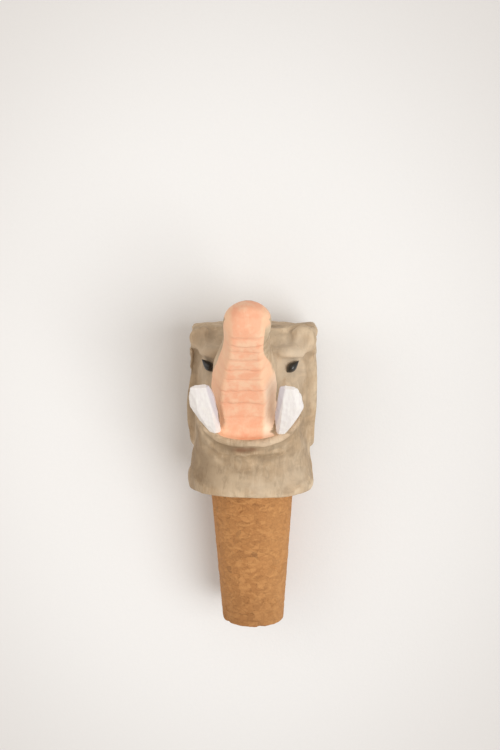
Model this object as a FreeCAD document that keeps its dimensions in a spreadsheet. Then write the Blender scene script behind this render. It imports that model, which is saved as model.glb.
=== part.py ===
import FreeCAD, Part
import math
import os

import Sketcher
from FreeCAD import Vector

# A bottle stopper: a carved wooden elephant head with a raised trunk, on a tapered cork.
# Each piece is drawn upright, with Z up the stopper's axis from the seat on the bottle's mouth,
# the face towards -Y and the left and right sides alike about X = 0. Every piece then gets the
# same placement, which lays the stopper on the flat at the back of its head, face up.
# Lengths are in millimetres and angles in degrees.

os.makedirs("parts", exist_ok=True)
doc = FreeCAD.newDocument("bottle_stopper")
sheet = doc.addObject("Spreadsheet::Sheet", "Sizes")

# Driving sizes of the simple pieces and of the places where pieces meet.
SIZES = (
    ("cork_length", 37.0, "length of the cork below the seat"),
    ("cork_top_radius", 11.1, "radius of the cork at the seat"),
    ("cork_end_radius", 8.2, "radius of the cork at its lower end"),
    ("cork_edge", 0.5, "chamfer at the cork's two ends"),
    ("dowel_radius", 4.0, "radius of the joining dowel"),
    ("dowel_in_head", 14.0, "how deep the dowel goes into the head"),
    ("dowel_in_cork", 18.0, "how deep the dowel goes into the cork"),
    ("dowel_edge", 0.6, "chamfer at the dowel's ends"),
    ("glue_film", 0.05, "glue between a peg and its hole, all round"),
    ("hole_relief", 0.5, "free depth past the end of a peg"),
    ("rest_depth", 16.0, "distance of the resting flat behind the axis"),
    ("rest_height", 22.0, "height on the axis at which rest_depth is taken"),
    ("lie_angle", 3.0, "how far the axis rises from the cork's end to the crown"),
    ("trunk_root_height", 25.0, "height of the middle of the trunk's root"),
    ("trunk_root_reach", 10.0, "how far the middle of the trunk's root is before the axis"),
    ("trunk_step", 3.95, "distance between two sections of the trunk"),
    ("trunk_root_heading", 24.0, "angle of the trunk's line from the axis at its root"),
    ("trunk_heading_swing", 31.0, "how far that angle grows where the trunk reaches out most"),
    ("trunk_root_lean", 65.0, "angle of the first section from level"),
    ("trunk_tip_lean", 24.0, "angle of the last section from level"),
    ("trunk_root_depth", 20.0, "thickness of the trunk at its root, underside to back"),
    ("trunk_tip_depth", 8.6, "thickness of the trunk at its tip, underside to back"),
    ("trunk_tip_round", 1.5, "height of the trunk's tip above its last section"),
    ("wrinkle_depth", 0.35, "depth of the lines cut across the trunk's underside"),
    ("wrinkle_width", 0.8, "width of those lines"),
    ("ear_middle_height", 26.8, "height of the middle of the ear"),
    ("ear_middle_reach", -4.0, "how far the middle of the ear is before the axis"),
    ("ear_depth", 20.0, "size of the ear from front to back"),
    ("ear_length", 35.0, "size of the ear from top to bottom"),
    ("ear_face", 17.1, "distance of the ear's outer face from the middle"),
    ("ear_bevel", 1.2, "width of the bevel round the ear's outer face"),
    ("ear_root", 10.5, "distance from the middle at which the ear starts inside the head"),
    ("ear_hollow", 0.9, "depth of the hollow carved in the ear"),
    ("fold_out", 13.6, "distance of the folded ear corner from the middle"),
    ("fold_reach", 4.8, "how far the folded ear corner is before the axis"),
    ("fold_height", 39.8, "height of the folded ear corner"),
    ("fold_half_height", 3.9, "half the height of the folded ear corner"),
    ("fold_half_width", 3.2, "half the width of the folded ear corner"),
    ("fold_pit", 1.3, "half the size of the pit in the folded ear corner"),
    ("eye_out", 11.0, "distance of an eye from the middle"),
    ("eye_reach", 8.5, "how far an eye is before the axis"),
    ("eye_height", 33.0, "height of an eye"),
    ("eye_half_length", 2.3, "half the length of an eye"),
    ("eye_half_width", 1.15, "half the width of an eye"),
    ("eye_slant", 45.0, "slant of the eyes, outer end up"),
    ("eye_sink", 0.5, "how far the eye's middle is behind the face"),
    ("socket_margin", 0.7, "width of the hollow round an eye"),
    ("brow_rise", 3.4, "height of the brow's ridge above the eye"),
    ("brow_sink", 2.2, "how far the brow's middle is behind the eye's"),
    ("brow_half_length", 5.0, "half the length of the brow's ridge"),
    ("brow_radius", 3.1, "half the width of the brow's ridge"),
    ("lip_thickness", 1.7, "half the thickness of the lip in its middle"),
    ("notch_radius", 1.5, "half the width of the notch carved under the lip"),
    ("notch_half_height", 0.9, "half the height of that notch"),
    ("notch_lift", 0.6, "how far the middle of that notch is before the chin"),
    ("tusk_out", 8.4, "distance of a tusk's root from the middle"),
    ("tusk_reach", 15.2, "how far a tusk's root is before the axis"),
    ("tusk_height", 17.6, "height of a tusk's root"),
    ("tusk_lean", 42.0, "angle of a tusk from the axis, towards the front"),
    ("tusk_splay", 9.0, "angle of a tusk outwards"),
    ("tusk_length", 17.0, "length of a tusk from its root to its tip"),
    ("tusk_half_width", 2.9, "half the width of a tusk where it is widest"),
    ("tusk_half_depth", 1.5, "half the thickness of a tusk where it is thickest"),
    ("tusk_peg_radius", 1.25, "radius of the peg on a tusk's root"),
    ("tusk_peg_length", 4.0, "length of the peg on a tusk's root"),
)

# The head's sections: name, rise above the section below, half width, reach to the front,
# reach to the back, and how square the outline is, from 2 for an ellipse upwards.
HEAD_SECTIONS = (
    ("seat", 0.0, 16.2, 15.4, 16.0, 2.3),
    ("rim", 1.6, 16.8, 16.1, 16.6, 2.3),
    ("collar", 4.6, 16.3, 15.2, 16.0, 2.3),
    ("neck", 2.6, 15.6, 13.8, 15.4, 2.5),
    ("jaw", 4.2, 15.0, 15.4, 15.6, 3.2),
    ("cheek", 6.2, 14.7, 14.9, 16.6, 3.6),
    ("temple", 7.8, 14.2, 11.6, 17.4, 3.4),
    ("eye_line", 6.0, 14.0, 9.9, 17.8, 3.2),
    ("brow_line", 5.0, 14.4, 9.2, 17.8, 3.2),
    ("crown", 3.5, 14.0, 7.2, 17.0, 3.0),
    ("top", 1.4, 11.6, 4.2, 14.0, 2.8),
)
HEAD_CORNERS = 16

# The chin's sections below the lip, in the same columns.
CHIN_SECTIONS = (
    ("chin_foot", 9.4, 7.6, 13.6, 4.0, 2.2),
    ("chin_turn", 1.4, 10.4, 15.8, 4.0, 2.4),
    ("chin_front", 2.0, 11.2, 16.4, 4.0, 2.4),
    ("chin_top", 1.6, 9.8, 15.6, 4.0, 2.4),
)
CHIN_CORNERS = 12

# The lip's line from the middle of the mouth to the cheek: distance from the middle, reach,
# height, the angle it has turned back from level ahead, the angle it climbs, and its thickness
# as a share of that in the middle.
LIP_LINE = (
    (0.0, 16.2, 14.3, 0, 0, 1.00),
    (4.4, 16.0, 14.6, 7, 11, 0.98),
    (8.4, 15.2, 15.9, 18, 25, 0.92),
    (11.4, 13.4, 18.0, 38, 38, 0.86),
    (13.0, 11.2, 20.8, 64, 45, 0.80),
    (13.6, 8.2, 23.8, 78, 44, 0.62),
)
LIP_CORNERS = 6

# A knob is cut in this many corners round, with rings at these shares of its half height that
# have these shares of its width.
KNOB_CORNERS = 8
KNOB_RINGS = ((-1.00, 0.42), (-0.45, 0.92), (0.45, 0.92), (1.00, 0.42))

# Half widths of the trunk, from its root to its tip.
TRUNK_HALF_WIDTHS = (7.0, 7.8, 8.4, 7.8, 6.9, 6.3, 5.7, 5.4, 5.4, 4.4)
HEADING_TURN = 158
TAPER_POWER = 1.8

# Corners of a trunk section as shares of its half width and of its thickness, underside first.
TRUNK_CORNERS = (
    (0.66, -0.50), (1.00, -0.20), (0.98, 0.20), (0.55, 0.50),
    (-0.55, 0.50), (-0.98, 0.20), (-1.00, -0.20), (-0.66, -0.50),
)

# Rings that round the trunk's tip: share of its height, of the last section's width and of its
# thickness, and by how much the ring leans less than that section.
TIP_RINGS = ((0.55, 0.72, 0.68, 6), (1.00, 0.38, 0.36, 12))

# The trunk's foot, inside the mouth, is this far before and below its root, in steps.
FOOT_STEPS = 1.0

# The ear's outline as shares of its depth, forwards, and of its length, upwards.
EAR_OUTLINE = (
    (0.50, 0.40), (0.46, 0.28), (0.34, 0.18), (0.33, -0.03), (0.28, -0.25),
    (0.16, -0.43), (0.01, -0.50), (-0.19, -0.46), (-0.36, -0.28), (-0.47, -0.06),
    (-0.50, 0.18), (-0.41, 0.37), (-0.18, 0.465), (0.15, 0.48), (0.40, 0.465),
)
EAR_FACE_SHARE = 0.90
HOLLOW_SHARE = 0.72
HOLLOW_FLOOR_SHARE = 0.60

# A tusk's sections: share of its length, shares of its half width and of its half depth, and how
# far the tusk bows outwards there, as a share of its half width.
TUSK_SECTIONS = (
    (0.00, 0.46, 0.75, 0.00),
    (0.25, 0.80, 1.00, 0.14),
    (0.52, 1.00, 1.00, 0.18),
    (0.78, 0.98, 0.80, 0.02),
    (0.93, 0.80, 0.55, -0.16),
    (1.00, 0.48, 0.35, -0.26),
)

# So many of those sections, from the root, are sunk in the head where they meet it.
TUSK_MORTISE_SECTIONS = 3

# Corners of a tusk's section as shares of its half width and half depth there.
TUSK_CORNERS = (
    (0.50, -1.00), (1.00, -0.30), (1.00, 0.35), (0.55, 1.00),
    (-0.50, 1.00), (-1.00, 0.35), (-1.00, -0.30), (-0.55, -1.00),
)

# A sketch's corners start on a circle of this radius, before the sheet places them.
START_RADIUS = 10.0

# How far a cut runs past the surface that it opens, and how far a peg runs into its blade.
CLEAR_OF_SURFACE = 0.4
CUT_PAST = 6.0
PEG_OVERLAP = 1.0

# The block that is cut away behind the resting flat reaches this far each way.
FLAT_CUT = 40


def fill_sheet():
    """Write each driving size into the sheet, and the heights and places that follow from them."""
    rows = [(alias, f"{value}", note) for alias, value, note in SIZES]
    for sections in (HEAD_SECTIONS, CHIN_SECTIONS):
        below = None
        for name, rise, half_width, front, back, squareness in sections:
            rows.append((f"{name}_rise", f"{rise}", "rise above the section below"))
            rows.append((f"{name}_half_width", f"{half_width}", "half width"))
            rows.append((f"{name}_front", f"{front}", "reach to the front"))
            rows.append((f"{name}_back", f"{back}", "reach to the back"))
            start = f"{below}_level + " if below else ""
            rows.append((f"{name}_level", f"={start}{name}_rise", "height of the section"))
            below = name
    for k, (out, reach, height, _, _, _) in enumerate(LIP_LINE):
        rows.append((f"lip_out_{k}", f"{out}", "distance of the lip's line from the middle"))
        rows.append((f"lip_reach_{k}", f"{reach}", "how far the lip's line is before the axis"))
        rows.append((f"lip_height_{k}", f"{height}", "height of the lip's line"))
    last = len(TRUNK_HALF_WIDTHS) - 1
    for k, half_width in enumerate(TRUNK_HALF_WIDTHS):
        share = k / last
        lean = f"=trunk_root_lean + (trunk_tip_lean - trunk_root_lean) * {share:.5f}"
        taper = (1 - share) ** TAPER_POWER
        depth = f"=trunk_tip_depth + (trunk_root_depth - trunk_tip_depth) * {taper:.5f}"
        heading = f"=trunk_root_heading + trunk_heading_swing * sin({HEADING_TURN * share:.3f})"
        rows.append((f"trunk_half_width_{k}", f"{half_width}", "half width of the trunk"))
        rows.append((f"trunk_lean_{k}", lean, "angle of the section from level"))
        rows.append((f"trunk_depth_{k}", depth, "thickness of the trunk"))
        rows.append((f"trunk_heading_{k}", heading, "angle of the trunk's line from the axis"))
        if k == 0:
            height = "=trunk_root_height"
            reach = "=trunk_root_reach"
        else:
            height = f"=trunk_height_{k - 1} + trunk_step * cos(trunk_heading_{k})"
            reach = f"=trunk_reach_{k - 1} + trunk_step * sin(trunk_heading_{k})"
        rows.append((f"trunk_height_{k}", height, "height of the section's middle"))
        rows.append((f"trunk_reach_{k}", reach, "reach of the section's middle"))
        half = f"trunk_depth_{k} / 2"
        under_height = f"=trunk_height_{k} - {half} * sin(trunk_lean_{k})"
        under_reach = f"=trunk_reach_{k} + {half} * cos(trunk_lean_{k})"
        rows.append((f"under_height_{k}", under_height, "height of the underside"))
        rows.append((f"under_reach_{k}", under_reach, "reach of the underside"))
    for row, (alias, content, note) in enumerate(rows, start=1):
        sheet.set(f"A{row}", note)
        sheet.set(f"B{row}", content)
        sheet.setAlias(f"B{row}", alias)
    doc.recompute()


def new_body(label):
    body = doc.addObject("PartDesign::Body", label)
    body.Label = label
    return body


def origin_plane(body, role):
    return [feature for feature in body.Origin.OriginFeatures if feature.Role == role][0]


def attach(body, feature, place, role="XY_Plane"):
    """Attach a sketch or primitive to one of its body's own planes, at a place bound to the sheet."""
    feature.AttachmentSupport = [(origin_plane(body, role), "")]
    feature.MapMode = "FlatFace"
    feature.setExpression("AttachmentOffset", place)


def bind(feature, **sizes):
    for name, expression in sizes.items():
        feature.setExpression(name, expression)


def at(x="0", y="0", z="0", turn="rotation(vector(1; 0; 0); 0)"):
    return f"placement(vector({x}; {y}; {z}); {turn})"


def turn_x(angle):
    return f"rotation(vector(1; 0; 0); {angle})"


def turn_y(angle):
    return f"rotation(vector(0; 1; 0); {angle})"


def outline_sketch(body, label, outlines, place, role="XY_Plane"):
    """A sketch of closed outlines, each corner held at two distances bound to the sheet."""
    sketch = body.newObject("Sketcher::SketchObject", label)
    attach(body, sketch, place, role)
    first = 0
    for corners in outlines:
        count = len(corners)
        angles = [2 * math.pi * (k + 0.5) / count for k in range(count)]
        starts = [Vector(math.cos(a), math.sin(a), 0) * START_RADIUS for a in angles]
        for k in range(count):
            sketch.addGeometry(Part.LineSegment(starts[k], starts[(k + 1) % count]), False)
        for k in range(count):
            after = first + (k + 1) % count
            sketch.addConstraint(Sketcher.Constraint("Coincident", first + k, 2, after, 1))
        for k, (x, y) in enumerate(corners):
            across = sketch.addConstraint(
                Sketcher.Constraint("DistanceX", -1, 1, first + k, 1, starts[k].x))
            sketch.setExpression(f"Constraints[{across}]", x)
            along = sketch.addConstraint(
                Sketcher.Constraint("DistanceY", -1, 1, first + k, 1, starts[k].y))
            sketch.setExpression(f"Constraints[{along}]", y)
        first += count
    return sketch


def loft(body, label, sketches, kind="PartDesign::AdditiveLoft"):
    feature = body.newObject(kind, label)
    feature.Profile = sketches[0]
    feature.Sections = sketches[1:]
    feature.Ruled = True
    feature.Refine = False
    body.Tip = feature
    return feature


def primitive(body, kind, label, place, **sizes):
    feature = body.newObject(f"PartDesign::{kind}", label)
    attach(body, feature, place)
    bind(feature, **sizes)
    feature.Refine = False
    body.Tip = feature
    return feature


def knob(body, label, place, half_height, half_width, half_depth, kind="PartDesign::AdditiveLoft"):
    """A lump, or a hollow, cut in flat facets: polygon rings up its own Z, closed flat."""
    sketches = []
    for k, (rise, share) in enumerate(KNOB_RINGS):
        angles = [2 * math.pi * (c + 0.5) / KNOB_CORNERS for c in range(KNOB_CORNERS)]
        corners = [(f"{share * math.cos(a):.4f} * ({half_width})",
                    f"{share * math.sin(a):.4f} * ({half_depth})") for a in angles]
        ring_place = f"{place} * {at(z=f'{rise} * ({half_height})')}"
        sketches.append(outline_sketch(body, f"{label}_ring_{k}", [corners], ring_place))
    return loft(body, label, sketches, kind)


def chamfer_rings(body, label, base, size):
    """Chamfer the full circles of the base feature."""
    doc.recompute()
    edges = base.Shape.Edges
    names = [f"Edge{k + 1}" for k, edge in enumerate(edges)
             if isinstance(edge.Curve, Part.Circle) and edge.isClosed()]
    feature = body.newObject("PartDesign::Chamfer", label)
    feature.Base = (base, names)
    bind(feature, Size=size)
    body.Tip = feature
    return feature


def rounded_section(name, squareness, corners):
    """Corners on a superellipse: share = |cos|^(2/squareness) across and the same of sin along."""
    points = []
    for k in range(corners):
        angle = 2 * math.pi * (k + 0.5) / corners
        across = math.copysign(abs(math.cos(angle)) ** (2 / squareness), math.cos(angle))
        along = math.copysign(abs(math.sin(angle)) ** (2 / squareness), math.sin(angle))
        reach = "back" if along > 0 else "front"
        points.append((f"{across:.5f} * Sizes.{name}_half_width",
                       f"{along:.5f} * Sizes.{name}_{reach}"))
    return points


def stacked_loft(body, label, sections, corners):
    sketches = []
    for name, _, _, _, _, squareness in sections:
        outline = rounded_section(name, squareness, corners)
        place = at(z=f"Sizes.{name}_level")
        sketches.append(outline_sketch(body, f"{name}_outline", [outline], place))
    return loft(body, label, sketches)


def trunk_section(body, label, k, more_reach="", more_height=""):
    corners = [(f"{x:.3f} * Sizes.trunk_half_width_{k}", f"{y:.3f} * Sizes.trunk_depth_{k}")
               for x, y in TRUNK_CORNERS]
    place = at(y=f"-(Sizes.trunk_reach_{k}{more_reach})", z=f"Sizes.trunk_height_{k}{more_height}",
               turn=turn_x(f"Sizes.trunk_lean_{k}"))
    return outline_sketch(body, label, [corners], place)


def add_trunk(body):
    """The raised trunk, and the lines that the knife cut across its underside."""
    last = len(TRUNK_HALF_WIDTHS) - 1
    foot = f"{FOOT_STEPS} * Sizes.trunk_step"
    sketches = [trunk_section(body, "trunk_foot_outline", 0,
                              f" - {foot} * sin(Sizes.trunk_heading_0)",
                              f" - {foot} * cos(Sizes.trunk_heading_0)")]
    for k in range(last + 1):
        sketches.append(trunk_section(body, f"trunk_outline_{k}", k))
    for k, (rise, wide, deep, drop) in enumerate(TIP_RINGS):
        corners = [(f"{x * wide:.3f} * Sizes.trunk_half_width_{last}",
                    f"{y * deep:.3f} * Sizes.trunk_depth_{last}") for x, y in TRUNK_CORNERS]
        place = at(y=f"-Sizes.trunk_reach_{last}",
                   z=f"Sizes.trunk_height_{last} + {rise} * Sizes.trunk_tip_round",
                   turn=turn_x(f"Sizes.trunk_lean_{last} - {drop}"))
        sketches.append(outline_sketch(body, f"trunk_tip_outline_{k}", [corners], place))
    loft(body, "trunk", sketches)

    wrinkles = []
    for k in range(1, last):
        lean = f"Sizes.trunk_lean_{k}"
        reach = f"Sizes.under_reach_{k}"
        height = f"Sizes.under_height_{k}"
        half = "Sizes.wrinkle_width / 2"
        out = f"{CLEAR_OF_SURFACE}"
        wrinkles.append([
            (f"-({reach} + {out} * cos({lean}) - {half} * sin({lean}))",
             f"{height} - {out} * sin({lean}) - {half} * cos({lean})"),
            (f"-({reach} + {out} * cos({lean}) + {half} * sin({lean}))",
             f"{height} - {out} * sin({lean}) + {half} * cos({lean})"),
            (f"-({reach} - Sizes.wrinkle_depth * cos({lean}))",
             f"{height} + Sizes.wrinkle_depth * sin({lean})"),
        ])
    sketch = outline_sketch(body, "wrinkle_outlines", wrinkles, at(), role="YZ_Plane")
    pocket = body.newObject("PartDesign::Pocket", "wrinkles")
    pocket.Profile = sketch
    pocket.Midplane = True
    bind(pocket, Length="4 * Sizes.trunk_half_width_4")
    pocket.Refine = False
    body.Tip = pocket


def ear_outline(share):
    depth = "Sizes.ear_depth"
    length = "Sizes.ear_length"
    return [(f"-(Sizes.ear_middle_reach + {forward * share:.4f} * {depth})",
             f"Sizes.ear_middle_height + {up * share:.4f} * {length}")
            for forward, up in EAR_OUTLINE]


def side_name(side):
    return "right" if side > 0 else "left"


def add_ear(body, side):
    """One ear: a flap against the side of the head, hollowed, with its front corner folded."""
    name = f"{side_name(side)}_ear"
    planes = (("root", 1.0, "Sizes.ear_root"),
              ("edge", 1.0, "Sizes.ear_face - Sizes.ear_bevel"),
              ("face", EAR_FACE_SHARE, "Sizes.ear_face"))
    loft(body, name, [
        outline_sketch(body, f"{name}_{plane}", [ear_outline(share)], at(z=f"{side} * ({out})"),
                       "YZ_Plane") for plane, share, out in planes])
    fold = (f"{side} * Sizes.fold_out", "-Sizes.fold_reach", "Sizes.fold_height")
    knob(body, f"{name}_fold", at(*fold), "Sizes.fold_half_height", "Sizes.fold_half_width",
         "Sizes.fold_half_width")
    planes = (("mouth", HOLLOW_SHARE, f"Sizes.ear_face + {CLEAR_OF_SURFACE}"),
              ("floor", HOLLOW_FLOOR_SHARE, "Sizes.ear_face - Sizes.ear_hollow"))
    loft(body, f"{name}_hollow", [
        outline_sketch(body, f"{name}_{plane}", [ear_outline(share)], at(z=f"{side} * ({out})"),
                       "YZ_Plane") for plane, share, out in planes], "PartDesign::SubtractiveLoft")
    pit = (fold[0], f"{fold[1]} - Sizes.fold_half_width", fold[2])
    knob(body, f"{name}_pit", at(*pit), "Sizes.fold_pit", "Sizes.fold_pit", "Sizes.fold_pit",
         "PartDesign::SubtractiveLoft")


def add_eye(body, side):
    """A brow ridge, a socket under it and a small almond swelling, the eye, in the socket."""
    name = side_name(side)
    out = f"{side} * Sizes.eye_out"
    slant = turn_y(f"{side} * (90 - Sizes.eye_slant)")
    brow = at(out, "Sizes.brow_sink - Sizes.eye_reach", "Sizes.eye_height + Sizes.brow_rise", slant)
    knob(body, f"{name}_brow", brow, "Sizes.brow_half_length", "Sizes.brow_radius",
         "Sizes.brow_radius")
    socket = at(out, "-Sizes.eye_reach - Sizes.socket_margin", "Sizes.eye_height", slant)
    knob(body, f"{name}_socket", socket, "Sizes.eye_half_length + Sizes.socket_margin",
         "Sizes.eye_half_width + Sizes.socket_margin",
         "Sizes.eye_half_width + Sizes.socket_margin", "PartDesign::SubtractiveLoft")
    eye = at(out, "Sizes.eye_sink - Sizes.eye_reach", "Sizes.eye_height", slant)
    knob(body, f"{name}_eye", eye, "Sizes.eye_half_length", "Sizes.eye_half_width",
         "Sizes.eye_half_width")


def add_lip(body):
    """The lip: a bead under the trunk and the tusks that climbs to the cheeks at both sides.

    The sections are drawn on the plane across X, whose own X, Y and Z are the part's Y, Z and X.
    """
    sketches = []
    last = len(LIP_LINE) - 1
    for k in range(-last, last + 1):
        side = -1 if k < 0 else 1
        turned, climb, share = LIP_LINE[abs(k)][3:]
        out = f"{side} * Sizes.lip_out_{abs(k)}" if k else "0"
        turn = f"{turn_y(side * turned)} * {turn_x(-side * climb)}"
        angles = [2 * math.pi * c / LIP_CORNERS for c in range(LIP_CORNERS)]
        corners = [(f"{share * math.cos(a):.4f} * Sizes.lip_thickness",
                    f"{share * math.sin(a):.4f} * Sizes.lip_thickness") for a in angles]
        place = at(f"-Sizes.lip_reach_{abs(k)}", f"Sizes.lip_height_{abs(k)}", out, turn)
        sketches.append(outline_sketch(body, f"lip_outline_{k + last}", [corners], place,
                                       "YZ_Plane"))
    loft(body, "lip", sketches)


def tusk_place(side):
    """Where a tusk's root is and which way it points, for the side 1 or -1."""
    turn = f"{turn_x('Sizes.tusk_lean')} * {turn_y(f'{side} * Sizes.tusk_splay')}"
    return at(f"{side} * Sizes.tusk_out", "-Sizes.tusk_reach", "Sizes.tusk_height", turn)


def tusk_corners(side, wide, deep, bow, more=""):
    return [(f"{side * bow:.4f} * Sizes.tusk_half_width"
             f" + {side * x * wide:.4f} * (Sizes.tusk_half_width{more})",
             f"{y * deep:.4f} * (Sizes.tusk_half_depth{more})") for x, y in TUSK_CORNERS]


def make_head():
    """The carved head, one piece of wood from the collar to the tip of the trunk."""
    body = new_body("carved_head")
    stacked_loft(body, "head_block", HEAD_SECTIONS, HEAD_CORNERS)
    stacked_loft(body, "chin", CHIN_SECTIONS, CHIN_CORNERS)
    add_lip(body)
    for side in (1, -1):
        add_ear(body, side)
        add_eye(body, side)
    add_trunk(body)
    knob(body, "mouth_notch",
         at("0", "-Sizes.chin_front_front - Sizes.notch_lift", "Sizes.chin_turn_level"),
         "Sizes.notch_half_height", "Sizes.notch_radius", "Sizes.notch_radius",
         "PartDesign::SubtractiveLoft")
    for side in (1, -1):
        hole = primitive(body, "SubtractiveCylinder", f"{side_name(side)}_tusk_hole",
                         at(), Radius="Sizes.tusk_peg_radius + Sizes.glue_film",
                         Height=f"Sizes.tusk_peg_length + Sizes.hole_relief + {CUT_PAST}")
        down = "-(Sizes.tusk_peg_length + Sizes.hole_relief)"
        hole.setExpression("AttachmentOffset", f"{tusk_place(side)} * {at(z=down)}")
        mortise = []
        for k, (along, wide, deep, bow) in enumerate(TUSK_SECTIONS[:TUSK_MORTISE_SECTIONS]):
            corners = tusk_corners(side, wide, deep, bow, " + Sizes.glue_film")
            place = f"{tusk_place(side)} * {at(z=f'{along} * Sizes.tusk_length')}"
            mortise.append(outline_sketch(body, f"{side_name(side)}_mortise_{k}", [corners], place))
        loft(body, f"{side_name(side)}_mortise", mortise, "PartDesign::SubtractiveLoft")
    primitive(body, "SubtractiveCylinder", "dowel_hole", at(),
              Radius="Sizes.dowel_radius + Sizes.glue_film",
              Height="Sizes.dowel_in_head + Sizes.hole_relief")
    primitive(body, "SubtractiveBox", "rest_flat",
              at(f"-{FLAT_CUT}", f"Sizes.rest_depth - {FLAT_CUT} * sin(Sizes.lie_angle)",
                 f"Sizes.rest_height - {FLAT_CUT} * cos(Sizes.lie_angle)",
                 turn_x("-Sizes.lie_angle")),
              Length=f"2 * {FLAT_CUT}", Width=f"{FLAT_CUT}", Height=f"2 * {FLAT_CUT}")
    return body


def make_tusk(label, side):
    """A whittled tusk, broad at its tip, with a round peg on its root."""
    body = new_body(label)
    sketches = []
    for k, (along, wide, deep, bow) in enumerate(TUSK_SECTIONS):
        place = at(z=f"{along} * Sizes.tusk_length")
        sketches.append(outline_sketch(body, f"{label}_outline_{k}",
                                       [tusk_corners(side, wide, deep, bow)], place))
    loft(body, f"{label}_blade", sketches)
    primitive(body, "AdditiveCylinder", f"{label}_peg", at(z="-Sizes.tusk_peg_length"),
              Radius="Sizes.tusk_peg_radius", Height=f"Sizes.tusk_peg_length + {PEG_OVERLAP}")
    return body


def make_cork():
    """The tapered cork, drawn downwards from the seat, with a blind hole for the dowel."""
    body = new_body("cork")
    cone = primitive(body, "AdditiveCone", "cork_taper", at(z="-Sizes.cork_length"),
                     Radius1="Sizes.cork_end_radius", Radius2="Sizes.cork_top_radius",
                     Height="Sizes.cork_length")
    chamfer_rings(body, "cork_edges", cone, "Sizes.cork_edge")
    primitive(body, "SubtractiveCylinder", "cork_dowel_hole",
              at(z="-(Sizes.dowel_in_cork + Sizes.hole_relief)"),
              Radius="Sizes.dowel_radius + Sizes.glue_film",
              Height=f"Sizes.dowel_in_cork + Sizes.hole_relief + {CUT_PAST}")
    return body


def make_dowel():
    """The wooden dowel that is glued into the head and the cork."""
    body = new_body("dowel")
    rod = primitive(body, "AdditiveCylinder", "dowel_rod", at(z="-Sizes.dowel_in_cork"),
                    Radius="Sizes.dowel_radius", Height="Sizes.dowel_in_cork + Sizes.dowel_in_head")
    chamfer_rings(body, "dowel_edges", rod, "Sizes.dowel_edge")
    return body


def lay_down(body, own_place=None):
    """Lay a piece on the resting flat, whose middle becomes the part's origin."""
    back = "Sizes.rest_depth"
    height = "Sizes.rest_height"
    lie = "Sizes.lie_angle"
    place = at("0", f"-({back} * sin({lie}) + {height} * cos({lie}))",
               f"{back} * cos({lie}) - {height} * sin({lie})", turn_x(f"{lie} - 90"))
    body.setExpression("Placement", f"{place} * {own_place}" if own_place else place)


def write_pieces(bodies):
    """Check every object and every piece, and then write one STEP file for each piece."""
    doc.recompute()
    for thing in doc.Objects:
        if "Invalid" in thing.State or "Error" in thing.State:
            raise RuntimeError(f"{thing.Label} could not be worked out: {thing.State}")
    for body in bodies:
        shape = body.Shape
        if shape.isNull() or not shape.isValid() or len(shape.Solids) != 1:
            raise RuntimeError(f"{body.Label} is not one valid solid")
    for body in bodies:
        body.Shape.exportStep(f"parts/{body.Label}.step")
        print(f"{body.Label}: {body.Shape.Volume:.1f} mm3")


fill_sheet()
head = make_head()
tusk_right = make_tusk("tusk_right", 1)
tusk_left = make_tusk("tusk_left", -1)
cork = make_cork()
dowel = make_dowel()
for piece in (head, cork, dowel):
    lay_down(piece)
lay_down(tusk_right, tusk_place(1))
lay_down(tusk_left, tusk_place(-1))
write_pieces((head, tusk_right, tusk_left, cork, dowel))
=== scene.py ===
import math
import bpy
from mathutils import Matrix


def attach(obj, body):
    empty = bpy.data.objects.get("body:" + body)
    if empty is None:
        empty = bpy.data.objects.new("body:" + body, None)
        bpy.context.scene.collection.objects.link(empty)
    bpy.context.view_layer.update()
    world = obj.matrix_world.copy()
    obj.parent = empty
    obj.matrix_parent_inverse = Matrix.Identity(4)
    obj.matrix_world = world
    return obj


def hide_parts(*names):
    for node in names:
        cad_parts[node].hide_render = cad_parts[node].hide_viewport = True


bl_info = {
    "name": "Carved Elephant Bottle Stopper",
    "version": (1, 0, 0),
    "blender": (4, 5, 0),
    "location": "3D View > Sidebar > Stopper",
    "description": "Carved wood, brushed paint and pressed cork for a bottle stopper",
    "category": "Object",
}

import bmesh
import bpy
import numpy as np
from bpy.props import FloatProperty, FloatVectorProperty, IntProperty, PointerProperty
from mathutils import Matrix, Vector

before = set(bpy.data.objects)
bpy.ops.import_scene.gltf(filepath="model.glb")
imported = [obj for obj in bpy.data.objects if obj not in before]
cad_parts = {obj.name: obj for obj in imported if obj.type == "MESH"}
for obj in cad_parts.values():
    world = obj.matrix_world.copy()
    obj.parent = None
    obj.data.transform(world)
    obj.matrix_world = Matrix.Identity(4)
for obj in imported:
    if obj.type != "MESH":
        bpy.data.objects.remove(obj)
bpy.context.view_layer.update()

# Shapes are worked out upright, in millimetres: Z up the stopper's axis from the seat, the face
# towards -Y. lay_down turns them onto the flat at the back of the head, in metres.
MM = 0.001
LIE_ANGLE = math.radians(3.0)
REST_DEPTH = 16.0
REST_HEIGHT = 22.0
FULL_TURN = 2 * math.pi

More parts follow.
